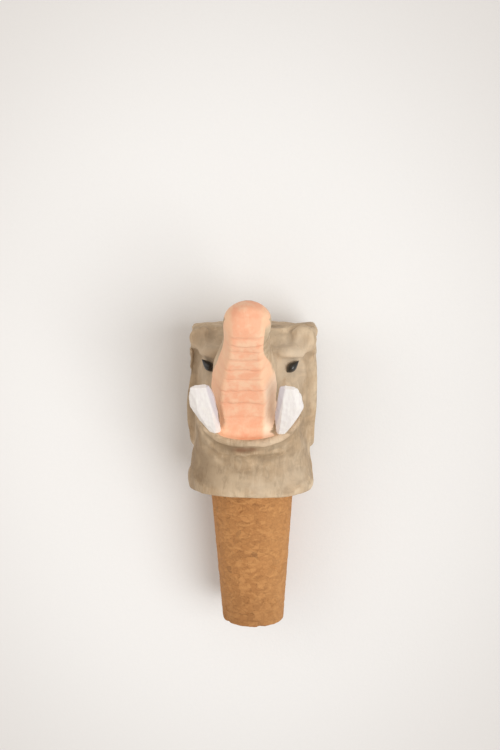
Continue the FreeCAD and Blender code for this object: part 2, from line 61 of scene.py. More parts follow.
# Sections of the head: height, half width, reach to the front, reach to the back, squareness.
HEAD_SECTIONS = np.array((
    (0.0, 16.6, 15.8, 16.3, 2.3),
    (1.6, 16.8, 16.1, 16.6, 2.3),
    (6.2, 16.3, 15.2, 16.0, 2.3),
    (8.8, 15.6, 13.8, 15.4, 2.5),
    (13.0, 15.0, 15.4, 15.6, 3.2),
    (19.2, 14.7, 14.9, 16.6, 3.6),
    (27.0, 14.2, 11.6, 17.4, 3.4),
    (33.0, 14.0, 9.9, 17.8, 3.2),
    (38.0, 14.4, 9.2, 17.8, 3.2),
    (41.5, 14.0, 7.2, 17.0, 3.0),
    (42.9, 11.6, 4.2, 14.0, 2.8),
))
CHIN_SECTIONS = np.array((
    (9.4, 7.6, 13.6, 4.0, 2.2),
    (10.8, 10.4, 15.8, 4.0, 2.4),
    (12.8, 11.2, 16.4, 4.0, 2.4),
    (14.4, 9.8, 15.6, 4.0, 2.4),
))

# The trunk: its root, its line's angle from the axis, the lean of its sections and its sizes.
TRUNK_ROOT = (25.0, 10.0)
TRUNK_STEP = 3.95
TRUNK_HEADING = (24.0, 31.0, 158.0)
TRUNK_LEAN = (65.0, 24.0)
TRUNK_DEPTH = (20.0, 8.6)
TRUNK_TAPER = 1.8
TRUNK_HALF_WIDTHS = (7.0, 7.9, 8.5, 7.9, 6.9, 6.3, 5.6, 5.4, 5.65, 5.8)
TRUNK_LAST = len(TRUNK_HALF_WIDTHS) - 1
TRUNK_CORNERS = np.array((
    (0.66, -0.50), (1.00, -0.20), (0.98, 0.20), (0.55, 0.50),
    (-0.55, 0.50), (-0.98, 0.20), (-1.00, -0.20), (-0.66, -0.50),
))
TRUNK_FOOT = 1.0

# How far the carver let each section of the trunk stray to the right of the middle.
TRUNK_SWAY = (-0.85, -0.95, -1.0, -0.9, -0.65, -0.25, 0.2, 0.6, 0.8, 0.85)

# The trunk's rounded end: its length, how many sections short it starts, how far its width shrinks,
# the share of its thickness that stays, its reach forwards and its lean.
TIP_ROUND = 4.0
TIP_START = 0.75
TIP_SHRINK = 0.93
TIP_THICKNESS_KEPT = 0.35
TIP_FORWARD = 1.0
TIP_LEAN = math.radians(12)
OVAL_SECTIONS = 2.0
OVAL_FLATNESS = 0.5
OVAL_FIT = 0.99

# Lines cut across the trunk's underside, in section numbers from its root.
WRINKLES = (1.1, 2.0, 3.0, 4.0, 4.8, 5.7, 6.45, 6.9, 7.5, 8.9)

# How crooked a wrinkle is; its slant, as a swing, a pace and a start; and its width and strength,
# each the least, a swing and a pace from wrinkle to wrinkle. Its core is this far to each side.
WRINKLE_WOBBLE = 0.32
WRINKLE_SLANT = (0.05, 2.3, 0.6)
WRINKLE_WIDTH = (0.15, 0.04, 1.7)
WRINKLE_STRENGTH = (0.55, 0.45, 2.1)
WRINKLE_CORE = 0.02

# A point belongs to the trunk within these shares of its thickness and half width, and within a
# distance of its line. What lies outside gets a share that no part of the trunk has.
TRUNK_REACH = (0.58, 1.12)
TRUNK_NEAR = 3.0
OFF_TRUNK = 9.0

# A point is past the tip this near to the last section's number and this far from its plane. The
# trunk's cuts start at a section number, and count below a share of the thickness.
PAST_TIP = (0.01, 0.05)
ON_TRUNK = (0.5, 2.0)

# The ear's outline as shares of its depth, forwards, and of its length, upwards.
EAR_OUTLINE = np.array((
    (0.50, 0.40), (0.46, 0.28), (0.34, 0.18), (0.33, -0.03), (0.28, -0.25),
    (0.16, -0.43), (0.01, -0.50), (-0.19, -0.46), (-0.36, -0.28), (-0.47, -0.06),
    (-0.50, 0.18), (-0.41, 0.37), (-0.18, 0.465), (0.15, 0.48), (0.40, 0.465),
))
EAR_MIDDLE = (-4.0, 26.8)
EAR_SIZE = (20.0, 35.0)
EAR_FACE = 17.1
EAR_ROOT = 10.5

# The ear's rings from its middle over the rim to its root: share of the outline, distance out.
EAR_RINGS = np.array((
    (0.05, EAR_FACE - 0.80), (0.20, EAR_FACE - 0.95), (0.40, EAR_FACE - 1.05),
    (0.58, EAR_FACE - 0.95), (0.68, EAR_FACE - 0.50), (0.76, EAR_FACE - 0.08),
    (0.84, EAR_FACE), (0.91, EAR_FACE - 0.15), (0.97, EAR_FACE - 0.65),
    (1.00, EAR_FACE - 1.40), (1.00, 0.5 * (EAR_FACE + EAR_ROOT)), (0.98, EAR_ROOT),
    (0.50, EAR_ROOT), (0.05, EAR_ROOT),
))

# Round forms at each side of the face: middle at the right, radii, and turn about Y.
EYE_PLACE = (11.0, -8.6, 33.0)
ROUND_FORMS = {
    "ear fold": ((13.5, -5.0, 39.7), (3.8, 3.4, 4.0), 0.0),
    "brow": ((9.6, -6.4, 37.0), (5.2, 3.2, 2.8), math.radians(-18)),
    "cheek": ((12.2, -2.6, 30.5), (2.7, 4.6, 6.0), 0.0),
}

# The eye: its slant, how far it is set back, its radii and the shape of its almond.
EYE_SLANT = math.radians(45)
EYE_SET_BACK = 0.75
EYE_RADII = (0.95, 1.3, 2.25)
ALMOND_POWER = 1.1
ALMOND_WIDTH = (1.12, 0.55)

# Swellings and hollows on both sides of the face: height, middle and radii of each bell.
FACE_BELLS = {
    "eye socket": (-1.2, EYE_PLACE, (2.9, 2.6, 1.9)),
    "brow": (1.3, (9.6, -8.8, 36.4), (4.6, 3.5, 1.5)),
    "outer end of the brow": (0.8, (13.0, -7.0, 34.6), (1.6, 3.0, 2.6)),
    "hollow beside the trunk": (-0.7, (8.6, -9.5, 29.6), (2.2, 3.0, 3.2)),
    "cheek": (0.6, (11.6, -11.5, 26.6), (2.4, 3.5, 3.0)),
    "dish of the ear fold": (-0.8, (13.6, -8.9, 40.2), (1.7, 1.8, 1.9)),
    "cut inside the ear fold": (-0.75, (10.0, -7.6, 40.8), (0.9, 3.0, 2.4)),
    "cut under the ear fold": (-0.9, (15.2, -6.0, 35.2), (3.0, 3.4, 0.9)),
    "notch under the lip": (-0.9, (0.0, -17.0, 12.2), (2.2, 2.0, 0.8)),
}

# The groove between cheek and ear: depth, distance out and half width, the bands of height where it
# is deeper, each with its share, middle and half height, and the soft ends of its run.
EAR_GROOVE = (1.1, 14.6, 0.75)
EAR_GROOVE_LEAST = 0.3
EAR_GROOVE_BANDS = ((0.7, 24.0, 3.0), (0.6, 16.5, 2.6))
EAR_GROOVE_TOP = (28.0, 1.2)
EAR_GROOVE_FOOT = (13.0, 0.8)

# The creases under the chin and under the lip: depth, height (for the lip, under its line) and half
# width, how far out both run, the chin's rise at a distance out, and the lip's share of the waver.
CHIN_CREASE = (0.75, 9.6, 0.95)
LIP_CREASE = (0.8, 2.3, 0.7)
CREASE_ENDS = (11.5, 1.2)
CHIN_RISE = (2.2, 11.0)
LIP_WAVER = 0.6

# Waves along the creases and the groove, each a height, a pace and a start.
CREASE_WAVER = ((0.45, 0.45, 1.1), (0.25, 1.1, 0.0))
CREASE_STRENGTH = (0.65, ((0.35, 0.38, -0.8),))
GROOVE_WANDER = (0.4, ((0.5, 0.55, 0.9), (0.3, 1.3, 0.0)))

# Soft edges of the head's front, and of its back.
FRONT = (-3.5, 0.8)
BACK = (15.0, 0.6)

# Unevenness of the flanks: push, soft edge out, and then either soft edges up and back, or a middle
# height and a half height. A bell fills the collar's left side a little.
LEFT_INSET = (-0.90, (-12.6, 0.6), (28.5, 1.5), (7.0, 1.5))
RIGHT_SWELL = (0.45, (13.4, 0.6), (26.0, 7.5))
LEFT_SWELL = (0.35, (-13.4, 0.6), (20.0, 5.0))
COLLAR_FILL = (0.30, (-15.6, -3.0, 9.4), (1.6, 7.0, 1.7))

# The lip's line from the middle to the cheek: out, reach, height and share of its thickness.
LIP_LINE = np.array((
    (0.0, 16.2, 14.3, 1.00), (4.4, 16.0, 14.6, 0.98), (8.4, 15.2, 15.9, 0.92),
    (11.4, 13.4, 18.0, 0.86), (13.0, 11.2, 20.8, 0.80), (13.6, 8.2, 23.8, 0.62),
))
LIP_THICKNESS = 1.7

# Knife cuts: how far a stroke strays, how deep it is, how far it reaches in cut sizes, how much
# longer than wide it is, how squarely a point must face it, where and how fast it rises as the
# surface turns away and towards its end, and the most that it moves a point.
KNIFE_STRAY = 0.45
KNIFE_DEPTH = 0.10
KNIFE_REACH = 2.4
KNIFE_STRETCH = 2.2
KNIFE_FACING = 0.35
KNIFE_TURN = (0.75, 1.5)
KNIFE_RUN_OUT = (0.4, 0.8)
KNIFE_LIMIT = 0.45

# Which way the strokes run on the head, and on a tusk, where the first number changes side.
HEAD_STROKE = (0.0, 1.0, 0.0)
TUSK_STROKE = (0.1, 0.75, 0.65)

# Rounds of smoothing: of the joined cells, of the pushed form, of the cuts' strength, of the cuts,
# of the cut surface with the share of each round, and of the broad form that hollows lie under.
JOIN_ROUNDS = 6
FORM_ROUNDS = 3
STRENGTH_ROUNDS = 10
CUT_ROUNDS = 2
LAST_SHARE = 0.4
HOLLOW_ROUNDS = 4
BROAD_ROUNDS = 60
TUSK_ROUNDS = 3

# The cuts are weaker on the trunk, in tight bends of this height, and round the collar's left side.
TRUNK_CUTS = 0.45
BEND_HEIGHT = 0.30
BEND_WEAKER = (0.9, 0.25)
COLLAR_CALM = (0.85, (-16.0, -3.0, 8.0), (3.0, 9.0, 4.5))
CUT_MIDDLE = 0.05
HOLLOW_DEPTH = 0.35
RIDGE_PERCENTS = (5, 97)

# Places of painted light (pale), of painted shade (brown) and of the notch's stain: share, whether
# on all sides, middle and radii.
WASH_MARKS = {
    # Painted light: the brow and cheeks on both sides, against the shade of the trunk and tusks; a
    # facet at the collar's foot; the collar's right side, towards the lamp.
    "pale": (
        (1.0, True, (11.0, -10.0, 34.5), (6.0, 6.0, 8.5)),
        (0.5, False, (2.5, -16.0, 2.5), (2.6, 4.0, 3.2)),
        (0.45, False, (12.0, -11.0, 5.0), (4.5, 6.0, 5.0)),
    ),
    # Painted shade: the left collar, brow and flank, away from the lamp; the lines in front of the
    # ears; and under the lip and the chin.
    "brown": (
        (0.9, False, (-13.5, -9.0, 7.0), (7.0, 8.0, 8.0)),
        (0.35, False, (-11.0, -8.0, 36.0), (5.0, 6.0, 6.0)),
        (0.7, False, (-16.0, -6.0, 22.0), (2.6, 8.0, 7.0)),
        (0.8, True, (14.6, -8.6, 17.5), (1.5, 3.5, 3.5)),
        (0.8, False, (-5.5, -16.5, 13.2), (4.5, 3.0, 1.3)),
        (0.6, False, (5.5, -15.5, 10.6), (3.8, 3.0, 0.9)),
        (0.8, True, (15.6, -6.8, 26.0), (1.2, 3.5, 2.5)),
    ),
    "notch": (
        (1.7, False, (-1.8, -16.6, 12.3), (1.9, 3.0, 0.65)),
        (1.1, False, (1.2, -16.6, 12.6), (1.5, 3.0, 0.50)),
    ),
}

# The lip's worn paint and painted highlight: how far over its line it lies, its half height and
# half depth, and its least share at the left with the soft edge where the brighter right begins.
LIP_WEAR_AND_SHEEN = (0.2, 1.5, 3.5)
LIP_WEAR_AND_SHEEN_LEFT = 0.35
LIP_WEAR_AND_SHEEN_RIGHT = (1.0, 1.2)

TUSK_ROOT = (8.4, -15.2, 17.6)
TUSK_LEAN = math.radians(42)
TUSK_SPLAY = math.radians(9)
TUSK_LENGTH = 17.0
TUSK_HALF_WIDTH = 2.9
TUSK_HALF_DEPTH = 1.5

# The tusk's peg: its radius, how deep it goes into the head and how far up into the tusk.
TUSK_PEG = (1.25, 1.5, 0.8)

# Sections of a tusk: share of its length, of its half width and half depth, and bow outwards.
TUSK_SECTIONS = np.array((
    (0.00, 0.46, 0.75, 0.00), (0.25, 0.80, 1.00, 0.14), (0.52, 1.00, 1.00, 0.18),
    (0.78, 0.98, 0.80, 0.02), (0.93, 0.80, 0.55, -0.16), (1.00, 0.48, 0.35, -0.26),
))
TUSK_CORNERS = np.array((
    (0.50, -1.00), (1.00, -0.30), (1.00, 0.35), (0.55, 1.00),
    (-0.50, 1.00), (-1.00, 0.35), (-1.00, -0.30), (-0.55, -1.00),
))

# A tusk's fuller belly: middle, half length, more width and more bow. The left one's blunter end:
# where it starts, more width and more bow.
TUSK_BELLY = (0.62, 0.25, 0.08, 0.06)
LEFT_TUSK_BLUNT = (0.70, 0.16, 0.18)
TUSK_VOXEL = 0.00016
TUSK_CUT_SIZE = 2.0
TUSK_CUT_DISH = 0.07
TUSK_CUT_SHARE = 0.8
TUSK_CUT_MIDDLE = 0.04
TUSK_SEED = 3
# Where the painted shade on a tusk's inner facets starts, as a share of the half width towards the
# trunk, and how soft its edge is.
TUSK_INNER_EDGE = (0.50, 0.12)

# The cork: its length, its radii at the seat and at the end, how far it stands askew at the seat
# and over its length, the softness of its edges and the share that its ends run in to.
CORK_LENGTH = 37.0
CORK_RADII = (11.1, 8.2)
CORK_ASKEW = (0.25, 0.6)
CORK_EDGE = 0.5
CAP_LEAST = 0.02

# Granules: how many points they grow round, how far they stand out or in by chance, the share that
# is torn out and how deep, how far a point looks for its granule, and the seam's half width, its
# depth and the depth of all.
GRANULES = 9000
GRANULE_LIFT = 0.03
TORN_SHARE = 0.03
TORN_DEPTH = 0.22
GRANULE_REACH = 2.6
GRANULE_NEAR = 6.8
SEAM_WIDTH = 0.22
SEAM_DEPTH = 0.035
GRANULE_SINK = 0.02
GRANULE_SEED = 11

# Patterns: stretch along X, Y and Z, turn, scale, detail, roughness and distortion of each noise.
STRAIGHT = (0.0, 0.0, 0.0)
EVEN = (1.0, 1.0, 1.0)
PATTERNS = {
    "wrinkle wobble": (EVEN, STRAIGHT, 0.35, 2.0, 0.55, 0.0),
    "fibre": ((0.9, 0.16, 0.9), STRAIGHT, 1.0, 5.0, 0.6, 0.5),
    "fine fibre": ((3.4, 0.4, 3.4), STRAIGHT, 1.0, 3.0, 0.6, 0.0),
    "blotch": (EVEN, STRAIGHT, 0.13, 3.0, 0.55, 0.0),
    "brushed": ((0.30, 0.75, 0.45), (0.0, 0.0, 0.5), 0.5, 4.0, 0.6, 0.8),
    "marks": ((0.60, 0.25, 0.60), (0.0, 0.0, 0.35), 1.0, 4.0, 0.6, 0.5),
    "salmon patch": ((1.0, 0.7, 1.0), STRAIGHT, 0.28, 3.0, 0.6, 0.0),
    "ragged": (EVEN, STRAIGHT, 0.9, 3.0, 0.55, 0.0),
    "tusk brush": ((1.6, 0.30, 0.6), STRAIGHT, 1.0, 3.0, 0.5, 0.0),
    "tusk patch": (EVEN, STRAIGHT, 0.35, 3.0, 0.55, 0.0),
    "eye brush": (EVEN, STRAIGHT, 1.4, 2.0, 0.55, 0.0),
    "cork streaks": ((0.26, 0.52, 0.36), (0.0, 0.0, 0.5), 1.0, 3.0, 0.6, 1.6),
    "cork cells": (EVEN, STRAIGHT, 2.6, 4.0, 0.65, 0.0),
    "cork seams": (EVEN, STRAIGHT, 0.8, 2.0, 0.55, 0.0),
    "cork specks": (EVEN, STRAIGHT, 1.3, 3.0, 0.7, 0.0),
    "dowel grain": ((1.6, 0.12, 1.6), STRAIGHT, 1.0, 4.0, 0.55, 0.0),
    "floor tooth": (EVEN, STRAIGHT, 1.2, 4.0, 0.55, 0.0),
}

# Colours that follow from the paints as they wear, gather or are rubbed, and colours of painted
# light
# and painted shade: paler and browner wash, the lip and the trunk's bevels (worn paint and painted
# highlight), the trunk's right flank, a tusk's inner facets and the floor further out.
PAINTED_LIGHT_WASH = (0.80, 0.66, 0.50)
PAINTED_SHADE_BROWN = (0.235, 0.155, 0.085)
LIP_WEAR_AND_HIGHLIGHT = (0.74, 0.56, 0.40)
NOTCH_STAIN = (0.22, 0.105, 0.05)
SALMON_EDGE_WEAR_AND_HIGHLIGHT = (0.93, 0.60, 0.38)
PAINTED_LIGHT_FLANK = (1.0, 0.78, 0.60)
TUSK_CREAM = (0.88, 0.80, 0.70)
TUSK_WORN = (0.92, 0.90, 0.88)
TUSK_INNER_SHADE = (0.60, 0.545, 0.57)
EYE_BLACK = (0.010, 0.009, 0.008)
EYE_WORN = (0.030, 0.027, 0.022)
CORK_FLECK = (0.12, 0.055, 0.022)
DOWEL_DARK = (0.50, 0.34, 0.19)
DOWEL_PALE = (0.68, 0.52, 0.33)
FLOOR_PAINTED_SHADE = (0.64, 0.615, 0.60)

# Shares of red, green and blue that turn a paint into its lighter or deeper tones, and the cork
# into its painted light.
SALMON_LIGHT = (1.02, 1.30, 1.40)
SALMON_DEEP = (0.92, 0.76, 0.72)
TUSK_SHADE = (0.93, 0.91, 0.93)
CORK_TONES = ((0.0, (0.84, 0.84, 0.84)), (0.35, (0.95, 0.95, 0.95)), (0.7, (1.0, 1.0, 1.0)),
              (1.0, (1.16, 1.22, 1.30)))
CORK_STREAK = (1.35, 1.50, 1.65)
CORK_GAP = (0.66, 0.62, 0.6)
CORK_CELL = (1.25, 1.35, 1.5)
CORK_SEAM = (0.5, 0.5, 0.5)
CORK_DARK_END = (0.62, 0.62, 0.62)
CORK_PAINTED_LIGHT = (1.45, 1.65, 1.9)
FLOOR_TOOTH = (0.97, 0.97, 0.97)

# Edges of the salmon paint, in section numbers along the trunk and in shares across and through it.
# Where it starts at the mouth: its curve, how ragged it is, and its soft edge.
PAINT_RAGGED = 0.10
MOUTH_CURVE = 0.42
MOUTH_RAGGED = 0.5
MOUTH_SOFT = (-0.08, 0.0)

# At the sides: how far out, how much further at the right and past the mouth, and its soft edge.
SIDE_OUT = 0.80
SIDE_MORE_RIGHT = (0.16, (0.2, 0.6))
SIDE_MORE_ON = (0.30, (0.2, 1.2))
SIDE_SOFT = (0.0, 0.04)

# The bare strip at the right: how far out it starts, how much nearer further on, and its run.
BARE_OUT = 0.96
BARE_NEARER = (0.24, (4.2, 6.8))
BARE_SOFT = (0.0, 0.05)
BARE_FROM = (3.2, 3.8)
BARE_TO = (7.9, 8.4)

# Through the trunk on its underside, and at the tip, where the paint goes round.
UNDER_RAGGED = 0.6
UNDER_SOFT = (-0.16, -0.11)
TIP_FROM = (8.35, 8.5)
TIP_SOFT = (0.30, 0.38)

# Where the trunk's edge has fainter wrinkles and by how much, where painted light lies on its right
# flank, out and along, and where the brush texture breaks up the lip's wear and highlight.
FAINT_EDGE = (0.60, 0.82)
FAINT_SHARE = 0.75
PAINTED_LIGHT_OUT = (0.58, 0.74)
PAINTED_LIGHT_RUN = (2.6, 3.8)
LIP_BRUSHED = (0.3, 0.6)

# Coats of each finish, one over another: what it follows, the values between which it comes in
# unless it follows that as it is, whether it lies where that is low, its share, and its colour, as
# shares of red, green and blue, as a name in the settings, or as such a name and a tint.
WASH_COATS = (
    ("brushed", 0.34, 0.60, False, 1.00, "wash"),
    ("blotch", 0.44, 0.66, False, 0.60, "wash_light"),
    ("fibre", 0.46, 0.72, False, 0.50, "wash_light"),
    ("ridge", 0.66, 1.00, False, 0.55, "wash_light"),
    ("ridge", 0.00, 0.35, True, 0.25, "wash_dark"),
    ("fine fibre", 0.58, 0.74, False, 0.22, "wash_dark"),
    # Darker in hollows: partly the wash that gathers there, partly painted shade.
    ("hollow", 0.35, 1.00, False, 0.45, "wash_dark"),
    ("marks", 0.32, 0.50, True, 0.42, "wash_dark"),
    # Painted light where the pale marks lie.
    ("pale", None, None, False, 0.60, PAINTED_LIGHT_WASH),
    # Painted shade where the brown marks lie.
    ("brown", None, None, False, 0.75, PAINTED_SHADE_BROWN),
    # The lip's worn paint and painted highlight.
    ("rubbed lip", None, None, False, 0.50, LIP_WEAR_AND_HIGHLIGHT),
    ("notch", None, None, False, 0.90, NOTCH_STAIN),
)
SALMON_COATS = (
    ("salmon patch", 0.38, 0.66, False, 1.00, ("salmon", SALMON_LIGHT)),
    ("fine fibre", 0.50, 0.75, False, 0.30, ("salmon", SALMON_DEEP)),
    # Lighter bevels at the trunk's edges: worn paint and painted highlight.
    ("off middle", 0.52, 0.66, False, 0.55, SALMON_EDGE_WEAR_AND_HIGHLIGHT),
    # Painted light on the trunk's lower right flank, where the tusk casts its shadow.
    ("right flank", None, None, False, 0.75, PAINTED_LIGHT_FLANK),
    ("wrinkles", None, None, False, 0.32, ("salmon", SALMON_DEEP)),
)
TUSK_COATS = (
    ("tusk brush", 0.35, 0.70, False, 1.00, "tusk_white"),
    ("tusk patch", 0.50, 0.80, False, 0.40, TUSK_CREAM),
    ("ridge", 0.60, 1.00, False, 0.35, TUSK_WORN),
    # Painted shade on the inner facets, towards the trunk.
    ("inner", None, None, False, 0.90, TUSK_INNER_SHADE),
)
EYE_COATS = (("eye brush", 0.40, 0.80, False, 1.00, EYE_WORN),)
CORK_COATS = (
    ("cork streaks", 0.50, 0.64, False, 0.70, ("cork_middle", CORK_STREAK)),
    ("cork streaks", 0.34, 0.46, True, 0.50, ("cork_middle", CORK_GAP)),
    ("cork cells", 0.35, 0.70, False, 0.35, ("cork_middle", CORK_CELL)),
    ("broken seams", None, None, False, 0.16, ("cork_middle", CORK_SEAM)),
    ("dark flecks", None, None, False, 0.65, CORK_FLECK),
    # Darker towards the cork's end.
    ("above the stain", None, None, True, 0.45, ("cork_middle", CORK_DARK_END)),
    # Painted light on the cork's sides.
    ("sunny sides", None, None, False, 0.30, ("cork_middle", CORK_PAINTED_LIGHT)),
)
DOWEL_COATS = (("dowel grain", 0.35, 0.70, False, 1.00, DOWEL_PALE),)
FLOOR_COATS = (
    ("floor tooth", 0.30, 0.80, False, 0.30, ("floor_tone", FLOOR_TOOTH)),
    # Painted shade further from a pool of painted light round the stopper.
    ("from the pool", 45.0, 130.0, False, 0.90, FLOOR_PAINTED_SHADE),
)

# How high the bumps of each finish stand, in metres.
WOOD_BUMP = 0.00016
TUSK_BUMP = 0.00007
EYE_BUMP = 0.00004
CORK_BUMP = 0.00022
DOWEL_BUMP = 0.0001
FLOOR_BUMP = 0.00004

# How rough each finish is: the least, what its pattern adds, and on the head what the paint takes.
WOOD_ROUGHNESS = (0.62, 0.16, 0.12)
TUSK_ROUGHNESS = (0.5, 0.15)
EYE_ROUGHNESS = (0.24, 0.1)
CORK_ROUGHNESS = (0.72, 0.18)
DOWEL_ROUGHNESS = (0.6, 0.1)
FLOOR_ROUGHNESS = 0.85

# What the bumps follow: on the head fibre, fine fibre and brush, how much of these the paint fills
# and how deep the wrinkles are; on a tusk its patches; and on the cork its cells, seams, flecks and
# granules.
WOOD_RELIEF = (0.5, 0.35, 0.25)
PAINT_FILLS = 0.45
WRINKLE_RELIEF = 0.8
TUSK_RELIEF = 0.5
CORK_RELIEF = (0.5, 0.2, 0.6, 0.25)

# The cork's granules in the paint: the scale and detail of the noise that bends their grid, and how
# far it is bent, stretched and turned.
CORK_BEND_NOISE = (0.5, 2.0)
CORK_BEND = (1.6, 1.6, 1.6)
CORK_STRETCH = (0.46, 0.66, 0.62)
CORK_TURN = (0.2, 0.1, 0.35)

# On the cork: how wide its seams are and where they are broken, which granules and specks are dark,
# and how its darker end and the painted light on its sides come in, with what the cells add to
# each.
SEAM_SOFT = (0.0, 0.07)
SEAM_BROKEN = (0.42, 0.62)
DARK_PICK = (0.975, (0.0, 0.02), 0.5)
DARK_SPECKS = (0.68, 0.74)
DARK_END_RUN = (6, (-60.0, -40.0))
PAINTED_LIGHT_LEFT = (3, (2.0, 10.0))
PAINTED_LIGHT_RIGHT = (3, (3.0, 9.0))

# The camera: its lens, what it looks at, how it leans to the right and to the crown, how far away
# it is and how it rolls.
LENS = 50.0
SENSOR = 36.0
CLIP = (0.01, 20.0)
AIM = (-0.5, 0.0, 29.57)
CAMERA_LEAN = (math.radians(3.4), math.radians(4.5))
CAMERA_DISTANCE = 0.276
CAMERA_ROLL = math.radians(0.6)

# Lamps: direction that the light comes from, distance, width and colour.
MAIN_LAMP = ((0.66, -0.20, 1.0), 1.6, 1.25, (0.95, 0.985, 1.0))
BOUNCE_LAMP = ((-0.75, 0.25, 0.65), 0.6, 0.5, (1.0, 0.93, 0.86))
SKY = (1.0, 0.945, 0.885, 1.0)

# The floor: its half width in metres, and how its pool of painted light is set off, in millimetres,
# and stretched.
FLOOR_HALF = 1.5
LIGHT_POOL_OFF = (10.0, 0.0, 0.0)
LIGHT_POOL_STRETCH = (1.0, 0.8, 1.0)


class StopperSettings(bpy.types.PropertyGroup):
    """Sizes, colours and lights of the stopper's finish."""
    head_voxel: FloatProperty(
        name="Head Voxel", description="Size of the cells that the carved surfaces are joined in",
        default=0.00036, min=0.0002, unit="LENGTH")
    cut_size: FloatProperty(
        name="Cut Size", description="Distance between two knife cuts on the head",
        default=0.0040, min=0.001, unit="LENGTH")
    cut_dish: FloatProperty(
        name="Cut Dish", description="How hollow each knife cut is, in millimetres per square one",
        default=0.075, min=0.0)
    wash: FloatVectorProperty(
        name="Wash", description="Grey-beige wash on the head", subtype="COLOR",
        default=(0.51, 0.36, 0.22), min=0, max=1)
    wash_light: FloatVectorProperty(
        name="Worn Wash", description="The wash where it is rubbed thin", subtype="COLOR",
        default=(0.70, 0.55, 0.38), min=0, max=1)
    wash_dark: FloatVectorProperty(
        name="Deep Wash", description="The wash where it gathers in the cuts", subtype="COLOR",
        default=(0.235, 0.165, 0.10), min=0, max=1)
    salmon: FloatVectorProperty(
        name="Salmon", description="Paint on the trunk's underside", subtype="COLOR",
        default=(0.89, 0.445, 0.275), min=0, max=1)
    tusk_white: FloatVectorProperty(
        name="Tusk White", description="Brushed paint on the tusks", subtype="COLOR",
        default=(0.87, 0.835, 0.80), min=0, max=1)
    cork_middle: FloatVectorProperty(
        name="Cork", description="Middle tone of the cork granules", subtype="COLOR",
        default=(0.435, 0.192, 0.062), min=0, max=1)
    floor_tone: FloatVectorProperty(
        name="Floor", description="Colour of the pale surface", subtype="COLOR",
        default=(0.83, 0.82, 0.815), min=0, max=1)
    main_light: FloatProperty(
        name="Main Light", description="Power of the large soft lamp at the right", default=16.5,
        min=0.0, unit="POWER")
    bounce_light: FloatProperty(
        name="Bounce Light", description="Power of the small lamp at the left", default=0.5,
        min=0.0, unit="POWER")
    sky_light: FloatProperty(
        name="Sky Light", description="Strength of the even light from all round", default=0.62,
        min=0.0)
    seed: IntProperty(
        name="Seed", description="Start of every chosen-by-chance place", default=7)


def settings():
    """The sizes and colours of this scene."""
    return bpy.context.scene.stopper


def lay_down(points):
    """Turns upright points about X by the lie angle less a quarter turn, and sets them on z = 0."""
    x, y, z = np.moveaxis(np.asarray(points, dtype=float), -1, 0)
    s, c = math.sin(LIE_ANGLE), math.cos(LIE_ANGLE)
    along = (y - REST_DEPTH) * s + (z - REST_HEIGHT) * c
    up = (REST_DEPTH - y) * c + (z - REST_HEIGHT) * s
    return np.stack((x, along, up), axis=-1) * MM


def stand_up(points):
    """The reverse of lay_down: metres in the part's frame to upright millimetres."""
    x, along, up = np.moveaxis(np.asarray(points, dtype=float) / MM, -1, 0)
    s, c = math.sin(LIE_ANGLE), math.cos(LIE_ANGLE)
    y = REST_DEPTH + along * s - up * c
    z = REST_HEIGHT + along * c + up * s
    return np.stack((x, y, z), axis=-1)


def rotation(axis, angle):
    """The matrix that turns by angle about a main axis, by the right-hand rule."""
    a, b = [k for k in range(3) if k != axis]
    turn = np.eye(3)
    sign = -1 if axis == 1 else 1
    turn[a, a] = turn[b, b] = math.cos(angle)
    turn[a, b] = -sign * math.sin(angle)
    turn[b, a] = sign * math.sin(angle)
    return turn


def at_side(place, side):
    """A place at the right, or its mirror image at the left."""
    return np.array((side * place[0], place[1], place[2]))


def angles(count):
    """Even angles round a full turn."""
    return np.linspace(0, FULL_TURN, count, endpoint=False)


def closed_tube(rings):
    """Faces of rings of points, joined along and around, with one point closing each end."""
    rows, around = rings.shape[:2]
    ends = np.stack((rings[0].mean(axis=0), rings[-1].mean(axis=0)))
    points = np.concatenate((rings.reshape(-1, 3), ends))
    index = np.arange(rows * around).reshape(rows, around)
    after = np.roll(index, -1, axis=1)
    quads = np.stack((index[:-1], after[:-1], after[1:], index[1:]), axis=-1).reshape(-1, 4)
    low, high = rows * around, rows * around + 1
    first = np.stack((after[0], index[0], np.full(around, low)), axis=-1)
    last = np.stack((index[-1], after[-1], np.full(around, high)), axis=-1)
    return points, [quads, first, last]


def make_mesh(name, parts):
    """One mesh of several (points, face arrays) in the part's frame, in metres."""
    points, faces, start = [], [], 0
    for part_points, part_faces in parts:
        points.append(part_points)
        for block in part_faces:
            faces.extend((block + start).tolist())
        start += len(part_points)
    mesh = bpy.data.meshes.new(name)
    mesh.from_pydata(np.concatenate(points).tolist(), [], faces)
    mesh.update()
    return mesh


def upright_mesh(name, surfaces):
    """One closed mesh of upright surfaces, laid down, with its faces pointing outwards."""
    mesh = make_mesh(name, [(lay_down(points), faces) for points, faces in surfaces])
    shell = bmesh.new()
    shell.from_mesh(mesh)
    bmesh.ops.recalc_face_normals(shell, faces=shell.faces)
    shell.to_mesh(mesh)
    shell.free()
    mesh.update()
    return mesh


def make_piece(name, mesh, material, replaced=()):
    """An object that rides on the body, its material and what it stands for."""
    piece = bpy.data.objects.new(name, mesh)
    bpy.context.collection.objects.link(piece)
    mesh.materials.clear()
    mesh.materials.append(material)
    mesh.polygons.foreach_set("use_smooth", [True] * len(mesh.polygons))
    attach(piece, "root")
    if replaced:
        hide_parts(*replaced)
    return piece


